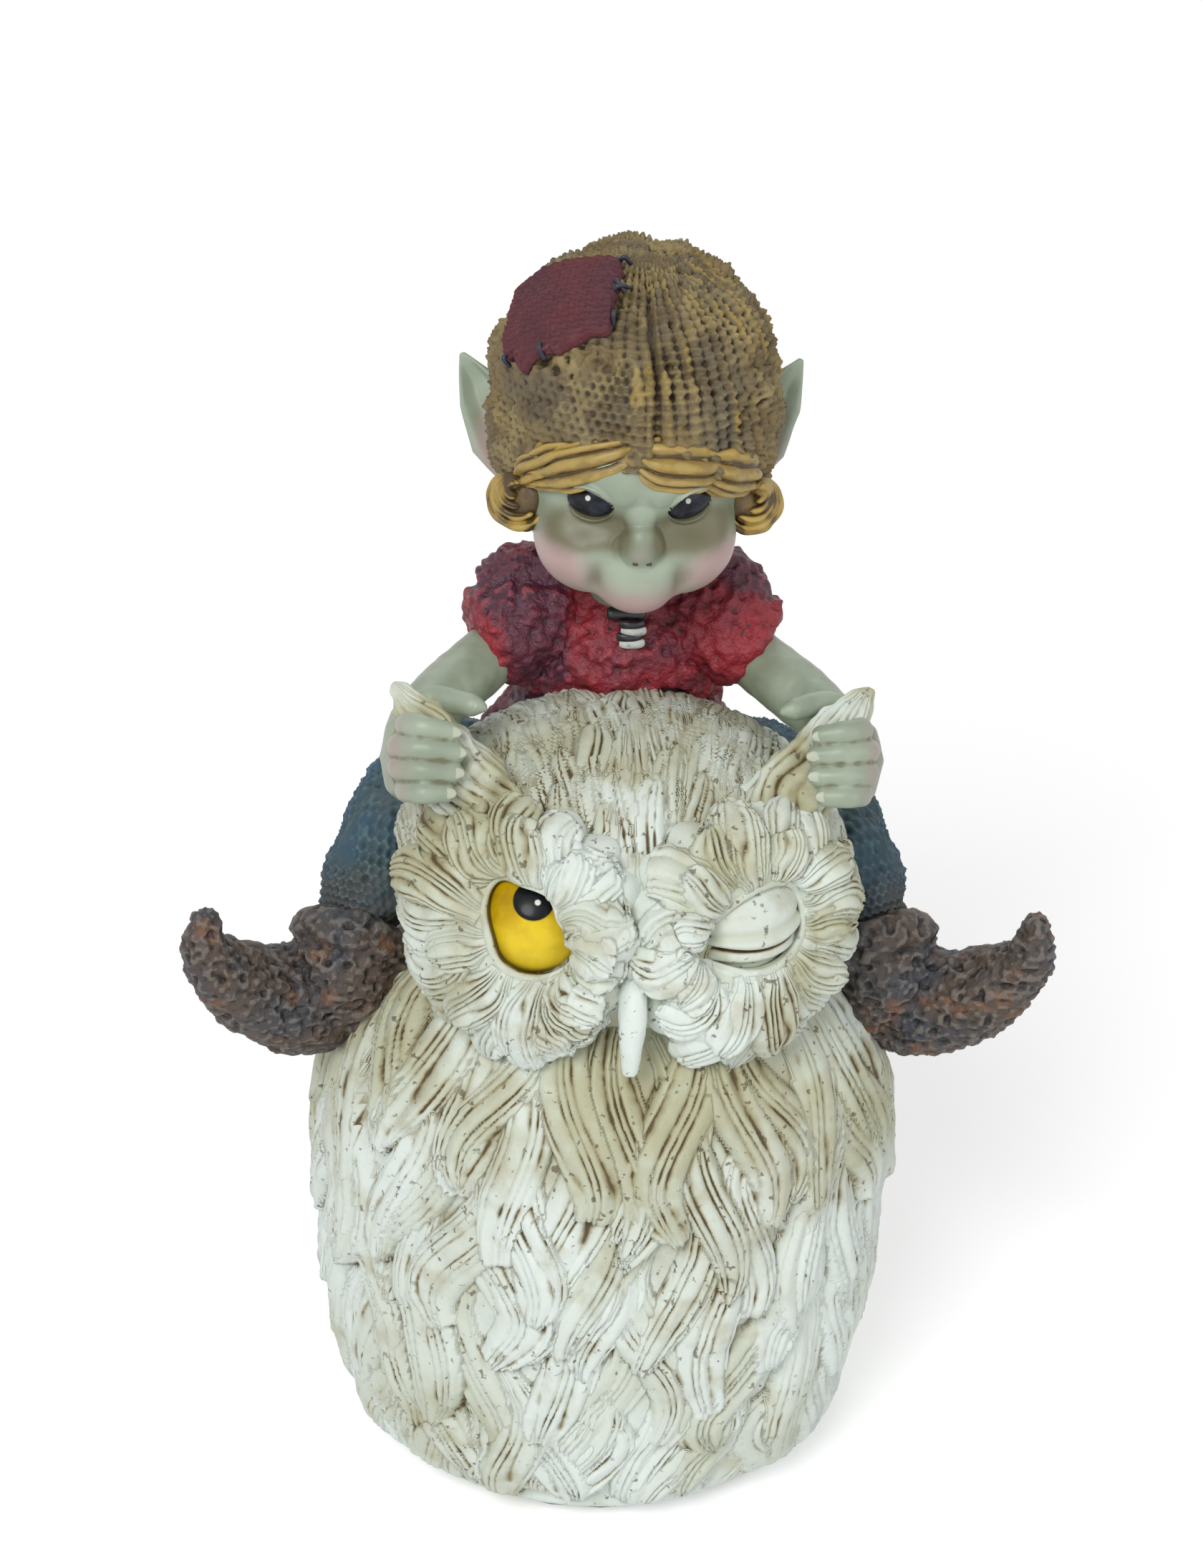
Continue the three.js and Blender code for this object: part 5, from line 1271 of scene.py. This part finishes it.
def makeHead(paint):
    s, eye = skull, pixieEye
    shape, turn, drop = ballGrid(s["around"], s["rings"])
    yaw = np.degrees(turn - 0.62 * np.sin(turn))  # the mesh is densest over the face
    even = drop - 0.5
    pitch = -180 * (even * 0.62 + 0.38 * 4 * even**3) - 4 * np.cos(math.pi * even)
    points = faceSurface(yaw, pitch)
    outward = unit(points - s["centre"])
    flush = bothSides(s["flush"], yaw, pitch)
    shade = bothSides(s["shade"], yaw, pitch) + mouthLine(yaw, pitch, 1.5)
    for side in sides.values():
        at, long, up, facing = eyeFrame(side)
        gap = points - at
        u, v = gap @ long, gap @ up
        beside = (np.abs(gap @ facing) < 6) & (points[:, 0] * side > -2)
        ring = almond(u, v)
        near = np.hypot(u / eye["wide"], v / eye["tall"])
        rim = eye["rim"] * bump(ring, 1.24, 0.18) * (near < 1.8)
        pit = eye["pit"] * smoothStep(1.05, 0.85, ring)
        points = points + facing * ((rim - pit) * beside)[:, None]
        under = 1.15 * spot(u, v, 0.4, -3.6, 5.4, 2.3)
        shade += np.where(beside, under + 1.1 * bump(ring, 1.0, 0.14) * (near < 1.5), 0)
    shape.move(points + outward * rough(points, [s["skin"]])[:, None]).traits(flush=flush, shade=shade)
    places = (tunicLevel(0.92), lerp(neckTop, s["centre"], 0.25), lerp(neckTop, s["centre"], 0.5))
    neck = form(stops([(at, neckRadius) for at in places]), 40, 30).traits(shade=0.5)
    return joined([shape, neck]).add("pixieHead", paint, "skin", "pixie_head")


def makePixieEyes():
    s = pixieEye
    eyes, dots = [], []
    for side in sides.values():
        at, long, up, facing = eyeFrame(side)
        shape = ballGrid(64, 40)[0]
        x, y, z = shape.points.T
        flat = np.outer(x * s["wide"], long) + np.outer(y * s["tall"], up)
        eyes.append(shape.move(at + flat + np.outer(z * s["bulge"] - s["sink"], facing)))
        dots.append((at - long * 0.3 * side + up * 0.5 + facing * 0.25, s["glint"]))
    return joined(eyes).add("pixieEyes", darkEyePaint(dots), "toggle_black")


nostril = dict(yaw=1, apart=2.6, pitch=-17.5, half=0.35, radius=0.25)


def makeNostrils(paint):
    s = nostril
    holes = []
    for side in sides.values():
        at = onFace(s["yaw"] + side * s["apart"], s["pitch"])
        holes.append(form(stops([(at + vec(x * s["half"], 0, 0), s["radius"]) for x in (-1, 0, 1)]), 16, 16))
    return joined(holes).add("pixieNostrils", paint, "toggle_black")


pixieEar = dict(yaw=97, pitch=-10, length=17, width=10, thick=3.4, dish=1.15, skin=(0.1, 3),
                stops=((-0.12, 0.6, 1), (0.3, 1, 1), (0.65, 0.72, 0.8), (1, 0.12, 0.35)))


def makeEar(side, word, paint):
    s = pixieEar
    root, normal = onSkull(side * s["yaw"], s["pitch"])
    root = root - normal * s["thick"] * 0.3
    way = unit(vec(side * 0.5, 0.32, 0.85))
    facing = unit(vec(side * 0.45, -0.85, 0.25))
    half, thick = s["width"] / 2, s["thick"] / 2
    stations = [station(root + way * s["length"] * a, half * w, thick * t, facing) for a, w, t in s["stops"]]
    shape, along, _ = limb(stations, 110, 110)
    points, normals = shape.points, shape.facing()
    middle = curveAt([t["at"] for t in stations], along)[0]
    across = np.abs((points - middle) @ unit(np.cross(facing, way)))
    width = np.interp(along, (0, 0.33, 0.66, 1), [t["wide"] for t in stations])
    edge = np.clip(across / np.maximum(width, 0.3), 0, 1)
    inner = smoothStep(0, 0.4, normals @ facing)
    dish = inner * smoothStep(0.9, 0.3, edge) * smoothStep(0, 0.15, along) * smoothStep(1, 0.75, along)
    shape.move(points - facing * (s["dish"] * thick * dish)[:, None])
    shape.lift(rough(points, [s["skin"]]))
    shape.traits(flush=(0.8 * inner * smoothStep(1.0, 0.3, edge) + 0.5) * smoothStep(0.85, 0.1, along),
                 shade=0.4 * dish * smoothStep(0.5, 0.2, along) + 0.3 * inner * bump(edge, 0.72, 0.14))
    return shape.add("pixieEar" + word.title(), paint, "skin", "pixie_ear_" + word)


# Rider's hair: thick locks with deep grooves, led over the skull by yaw, pitch and girth

hairLocks = dict(
    radius=2.4, flat=0.8, grooves=5, grooveHigh=0.85, rough=(0.14, 1.5), sink=0.5,
    right=[[(6, 28, 0.5), (-14, 23.5, 1.0), (-36, 15.5, 1.2), (-62, 3, 0.7)],
           [(-24, 24, 0.6), (-44, 17, 1.0), (-58, 8, 0.9), (-68, 0, 0.5)]],
    left=[[(-5, 27.5, 0.8), (8, 22.5, 1.35), (26, 19.5, 1.35), (42, 17.5, 0.7)],
          [(24, 23, 0.7), (40, 15.5, 1.35), (55, 9.5, 1.25), (70, 4.5, 0.8)]],
    nape=[[(84, -24, 0.6), (112, -30, 1), (140, -34, 1), (168, -36, 0.8)],
          [(192, -36, 0.8), (220, -34, 1), (248, -30, 1), (276, -24, 0.6)],
          [(150, -27, 0.8), (172, -29, 1), (190, -29, 1), (212, -27, 0.8)]],
)


def hairLock(places):
    s = hairLocks
    stations = []
    for yaw, pitch, share in places:
        at, normal = onSkull(yaw, pitch)
        girth = s["radius"] * share
        stations.append(station(at + normal * s["radius"] * 0.3, girth, girth * s["flat"], normal))
    shape, along, turn = limb(stations, 120, 100, 3)
    wavy = turn + 0.4 * along + 0.12 * np.sin(4 * along) + 0.12 * grain(shape.points, 4)
    strand = np.abs(np.cos(s["grooves"] * wavy + 0.8 * np.sin(2 * wavy))) ** 0.8
    relief = s["grooveHigh"] * strand * smoothStep(0, 0.1, along) * smoothStep(1, 0.93, along)
    relief += rough(shape.points, [s["rough"]])
    shape.lift(relief - s["sink"])
    return shape.traits(groove=np.clip(0.1 + 0.65 * (1 - strand) + shape.sunken(relief, 5) / 0.5, 0, 1))


def makeHair(name, routes, paint, node):
    return joined([hairLock(places) for places in routes]).add(name, paint, "hair", node)


curl = dict(yaw=63, pitch=-5, radius=3.7, core=((0.7, 0.85), (0.2, 0.9), (-0.25, 0.6)), arcs=4, points=12,
            girth=(0.75, 0.5), thick=1.0, strand=0.25, rough=(0.22, 1.6))


def makeCurl(side, word, paint):  # arcs of hair nested in each other
    s, radius = curl, curl["radius"]
    at, normal = onSkull(side * s["yaw"], s["pitch"])
    middle = at + normal * radius * 0.35
    facing = unit(vec(side * 0.45, -0.85, 0.3))
    level = unit(np.cross(upward, facing)) * side
    up = np.cross(facing, level) * side
    up *= np.sign(up[2])
    core = stops([(middle - facing * radius * back, radius * girth) for back, girth in s["core"]], level)
    whole = [form(core, 40, 40).traits(groove=0.6)]
    for j in range(s["arcs"]):
        reach = radius * (0.8 - 0.18 * j)
        stations = []
        for t in np.linspace(0, 1, s["points"]):
            angle = math.radians(lerp(120 - 10 * j, -170 + 34 * j, t))
            ring = (level * math.cos(angle) * 1.2 + up * math.sin(angle)) * reach
            at = middle + up * (0.5 * j - 0.8) + ring + facing * (0.7 + 0.4 * j - 0.9 * t)
            stations.append(station(at, lerp(*s["girth"], t), s["thick"], facing))
        arc, along, turn = limb(stations, 36, 100)
        relief = s["strand"] * np.abs(np.cos(2 * turn + 3 * along)) + rough(arc.points, [s["rough"]])
        arc.lift(relief)
        whole.append(arc.traits(groove=np.clip(0.55 - relief * 1.6 + 0.6 * np.abs(np.cos(turn)) ** 3, 0, 1)))
    return joined(whole).add("pixieCurl" + word.title(), paint, "hair", "pixie_curl_" + word)


# Hat

hat = dict(centre=skull["centre"] + vec(0, 2.4, 6.5), radii=vec(18.7, 19.7, 21), rimHigh=5.8, rimSlope=36, wall=1.6,
           around=420, rings=220, outerShare=0.88, ribs=54, ribDepth=0.85, rowPitch=1.25, rowDepth=0.26,
           bricks=84, brickPitch=1.15, brickDepth=0.5, lumps=((0.5, 7), (0.45, 2.6, 4.0), (0.35, 1.2, 8.0)),
           pits=0.9, seam=1.4, band=0.5, roll=0.8, sink=0.6)
patch = dict(yaw=-58, pitch=50, wide=17, tall=12.5, thick=1.0, roll=38, squareness=12, brick=(1.5, 0.85),
             brickHigh=0.34, nap=(0.22, 1.4), threads=(  # place across and up, turn and length of each stitch
                 (1.0, 0.1, 0.5, 3.4), (0.97, 0.2, -0.6, 2.8), (0.98, 0.92, 0.3, 2.2), (-0.15, -1.04, 1.5, 2.8),
                 (-0.9, -0.98, 1.2, 2.2), (1.0, -0.55, 1.5, 2.2)))


def hatWay(turn, fall):
    return np.stack([np.sin(turn) * np.sin(fall), -np.cos(turn) * np.sin(fall), np.cos(fall)], 1)


def hatRim(turn):  # the drop from the hat's top to its rim, all the way round
    s = hat
    slope = math.radians(s["rimSlope"])
    normal = vec(0, math.sin(slope), math.cos(slope))
    brow = vec(0, skull["centre"][1] - skull["radii"][1], skull["centre"][2] + s["rimHigh"])
    low, high = np.full(len(turn), 0.3), np.full(len(turn), 2.9)
    for _ in range(30):
        middle = (low + high) / 2
        above = (s["centre"] + hatWay(turn, middle) * s["radii"] - brow) @ normal > 0
        low, high = np.where(above, middle, low), np.where(above, high, middle)
    return low


def makeHat(paint):
    s = hat
    shape, turn, drop = ballGrid(s["around"], s["rings"])
    inside = drop > s["outerShare"]
    share = np.where(inside, (1 - drop) / (1 - s["outerShare"]), drop / s["outerShare"])
    fall = share * hatRim(turn)
    way = hatWay(turn, fall)
    facing = unit(way / s["radii"])
    points = s["centre"] + way * s["radii"]
    length = fall * s["radii"][2]
    ribTurn = turn + 0.05 * grain(points, 9, 3.0)
    rib = s["ribs"] * ribTurn / (2 * math.pi)
    ribs = np.abs(np.cos(math.pi * rib)) ** 0.8 * smoothStep(0.12, 0.4, np.sin(fall))
    rows = np.cos(2 * math.pi * length / s["rowPitch"] + 1.2 * np.sin(3 * np.floor(rib)))
    fineSide = smoothStep(0.1, -0.2, np.sin(turn)) * smoothStep(0.5, 0.7, share)  # one side is knitted finer
    course = length / s["brickPitch"]
    bricks = np.cos(2 * math.pi * course) + np.cos(turn * s["bricks"] + math.pi * np.floor(course))
    loose = np.clip(0.9 + 0.4 * grain(points, 5, 15.0), 0.5, 1.3)  # the knit is tighter in places
    knit = loose * lerp(s["ribDepth"] * ribs + s["rowDepth"] * rows, s["brickDepth"] / 2 * bricks, fineSide)
    pits = smoothStep(0.62, 0.85, grain(points, 1.6, 12.0)) * smoothStep(-0.2, 0.4, grain(points, 10, 6.0))
    seam = bump(turn + 0.03 * grain(points, 5, 7.0), 0.07, 0.03) * smoothStep(0.12, 0.3, share)
    band = smoothStep(0.11, 0.05, np.abs(turn + 0.05 + 0.05 * grain(points, 3, 9.0))) * smoothStep(0.5, 0.7, share)
    relief = knit + rough(points, s["lumps"]) - s["pits"] * pits - s["seam"] * seam + s["band"] * band
    relief += s["roll"] * bump(share, 0.965, 0.03)
    relief = np.where(inside, -s["wall"] * smoothStep(1, 0.9, share), relief - s["sink"])
    shape.move(points + facing * relief[:, None])
    hollow = shape.sunken(np.where(inside, 0, relief), 7) / 0.6
    rib = np.round(rib)
    dye = grain(np.stack([rib * 3.7, length / 6, 0 * rib], 1), 1, 5.0)
    streaks = smoothStep(-0.1, 0.5, np.sin(rib * 2.4) + 0.8 * dye) * ribs**3 * smoothStep(-0.4, 0.1, np.sin(turn))
    mustard = 0.26 + 0.6 * streaks + 0.4 * smoothStep(0.1, 0.4, s["band"] * band)
    shape.traits(groove=np.where(inside, 0.8, np.clip(0.36 + hollow, 0, 1)),
                 tone=mustard * (0.8 + 0.6 * grain(points, 5, 2.0)))
    return shape.add("pixieHat", paint, "hat_knit", "pixie_hat")


def patchFrame():
    at, normal = onBall(hat["centre"], hat["radii"], patch["yaw"], patch["pitch"])
    return at, *turned(*tangents(normal), patch["roll"]), normal


def onHat(places, lift):  # lays places on the hat's dome, lifted off it
    way = unit((places - hat["centre"]) / hat["radii"])
    return hat["centre"] + way * hat["radii"] + unit(way / hat["radii"]) * np.reshape(lift, (-1, 1))


def makePatch(paint):
    s, power = patch, patch["squareness"]
    at, x, y, _ = patchFrame()
    shape, turn, drop = ballGrid(280, 140)
    span = (np.abs(np.cos(turn)) ** power + np.abs(np.sin(turn)) ** power) ** (-1 / power)
    top = drop < 0.5
    share = np.where(top, 2 * drop, 2 - 2 * drop)
    u, v = share * span * np.cos(turn), share * span * np.sin(turn)
    around = np.stack([np.cos(turn), np.sin(turn), 0 * turn], 1)
    ragged = 1 + (0.03 * grain(around * 6, 1) + 0.02 * grain(around * 16, 1)) * smoothStep(0.6, 1, share)
    across, down = u * s["wide"] / 2, v * s["tall"] / 2
    fray = smoothStep(-0.7, -1, v) * smoothStep(0.8, -0.2, u)  # the lower edge hangs in tatters
    down = down - fray * (1.2 + 1.4 * grain(np.stack([across, 0 * across, 0 * across], 1), 1.6, 2.0))
    flat = at + np.outer(across * ragged, x) + np.outer(down * ragged, y)
    column, course = across / s["brick"][0], down / s["brick"][1]
    bricks = np.abs(np.cos(math.pi * course)) ** 0.5
    bricks *= np.abs(np.cos(math.pi * (column + 0.5 * np.floor(course)))) ** 0.4
    weave = s["brickHigh"] * bricks + rough(flat, [s["nap"]])
    shape.move(onHat(flat, np.where(top, 0.7 + s["thick"] * 0.5 + weave - 0.9 * smoothStep(0.93, 1, share), 0.1)))
    shape.traits(groove=np.clip(0.4 + shape.sunken(np.where(top, weave, 0), 4) / 0.4, 0, 1))
    return shape.add("hatPatch", paint, "patch_wine", "hat_patch")


def makeStitches(paint):
    at, x, y, normal = patchFrame()
    stitches = []
    for u, v, turn, length in patch["threads"]:
        middle = at + x * u * patch["wide"] / 2 + y * v * patch["tall"] / 2
        half = (x * math.cos(turn) + y * math.sin(turn)) * length / 2
        line = onHat(np.array([middle - half, middle, middle + half]), np.array([0.4, 1.6, 0.4]))
        stitches.append(form([station(place, 0.34, 0.3, normal) for place in line], 20, 30))
    return joined(stitches).add("patchStitches", paint, "toggle_black")


# Studio

view = dict(azimuth=-4.78, elevation=28.48, roll=2.85, distance=491.7, focal=5307, width=1680, sensor=36,
            aimHigh=97.04, aimSide=-2.53)


def setCamera():
    s = view
    a, e = math.radians(s["azimuth"]), math.radians(s["elevation"])
    back = Vector((math.sin(a) * math.cos(e), -math.cos(a) * math.cos(e), math.sin(e)))
    level = Vector((math.cos(a), math.sin(a), 0))
    right, up = turned(level, back.cross(level), s["roll"])
    place = Vector((0, 0, s["aimHigh"])) + level * s["aimSide"] + back * s["distance"]
    camera = bpy.data.objects.new("camera", bpy.data.cameras.new("camera"))
    camera.data.sensor_fit = "HORIZONTAL"
    camera.data.sensor_width = s["sensor"]
    camera.data.lens = s["focal"] / s["width"] * s["sensor"]
    camera.data.clip_start = 0.01
    camera.matrix_world = Matrix.Translation(place * mm) @ Matrix((right, up, back)).transposed().to_4x4()
    bpy.context.scene.collection.objects.link(camera)
    bpy.context.scene.camera = camera


studio = dict(ambient=0.36, floorRadius=4, floorGlow=0.36, floorFar=(0.7, 1.5), aim=(0, 0, 0.09),
              lamps=dict(keyLamp=((-0.45, -0.95, 0.95), 0.6, 10), fillLamp=((0.9, -0.8, 0.5), 0.8, 2.5),
                         backLamp=((0.1, 0.9, 0.8), 0.8, 2)))


def addLamp(name, place, size, power):
    lamp = bpy.data.objects.new(name, bpy.data.lights.new(name, "AREA"))
    lamp.data.shape = "DISK"
    lamp.data.size = size
    lamp.data.energy = power
    lamp.location = place
    lamp.rotation_euler = (Vector(studio["aim"]) - Vector(place)).to_track_quat("-Z", "Y").to_euler()
    bpy.context.scene.collection.objects.link(lamp)


def setStudio():
    s = studio
    scene = bpy.context.scene
    scene.view_settings.view_transform = "Standard"
    sky = Paint("studio", bpy.data.worlds, "Background", Color=(1, 1, 1, 1))
    level = {"Value": sky.shown(), "To Min": s["ambient"], "To Max": 1.0}
    sky.plug(sky.shader.inputs["Strength"], sky.add("ShaderNodeMapRange", {}, level))
    scene.world = sky.owner
    for name, lamp in s["lamps"].items():
        addLamp(name, *lamp)
    bm = bmesh.new()
    bmesh.ops.create_circle(bm, cap_ends=True, segments=96, radius=s["floorRadius"])
    mesh = bpy.data.meshes.new("floor")
    bm.to_mesh(mesh)
    bm.free()
    floor = bpy.data.objects.new("floor", mesh)
    scene.collection.objects.link(floor)
    paper = Paint("pale_paper", Base_Color=(0.9, 0.9, 0.9, 1), Roughness=0.9)
    paper.plug(paper.shader.inputs["Emission Strength"], paper.shown())
    away = paper.add("ShaderNodeVectorMath", {"operation": "LENGTH"}, {0: paper.place()}, "Value")
    near, far = s["floorFar"]
    glow = {"Value": away, "From Min": near, "From Max": far, "To Min": s["floorGlow"]}
    paper.plug(paper.shader.inputs["Emission Color"], paper.add("ShaderNodeMapRange", {}, glow))  # white far away
    mesh.materials.append(paper.owner)


setCamera()
setStudio()
print("studio set")

plumage = plumagePaint()
makeOwlBody(plumage)
print("owl's body done")
makeOwlHead(plumage)
makeOpenEye()
makeLids(plumage)
makeBeak(plumage)
makeTail(plumage)
for word, side in sides.items():
    for make in (makeRuff, makeTuft, makeWing):
        make(side, word, plumage)
print("owl done")

skin, hair = skinPaint(), hairPaint()
blueKnit, shoeLeather = blueKnitPaint(), shoePaint()
black = enamelPaint("black_enamel", (20, 20, 24), (48, 48, 52), 0.2)
makeTunic(redClothPaint())
makeToggle(black, enamelPaint("pale_enamel", (206, 208, 204), (120, 124, 122), 0.2))
makeHead(skin)
makePixieEyes()
makeNostrils(enamelPaint("nostril_brown", (58, 46, 38), (74, 60, 48), 0.0))
makeHair("pixieFringe", hairLocks["right"] + hairLocks["left"], hair, "pixie_fringe")
makeHair("pixieNapeHair", hairLocks["nape"], hair, "pixie_nape_hair")
for word, side in sides.items():
    makeLeg(side, word, blueKnit)
    makeShoe(side, word, shoeLeather)
    makeArm(side, word, skin)
    makeEar(side, word, skin)
    makeCurl(side, word, hair)
print("rider done")

makeHat(hatKnitPaint())
makePatch(patchPaint())
makeStitches(enamelPaint("thread_ink", (24, 26, 40), (48, 50, 64), 0.0))
print("hat done")

hidden = {"felt_pad": feltPaint(), "base_plate": resinPaint()}
steel = steelPaint()
for name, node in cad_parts.items():
    if name in hidden or "_pin" in name:
        node.data.materials.clear()
        node.data.materials.append(hidden.get(name, steel))
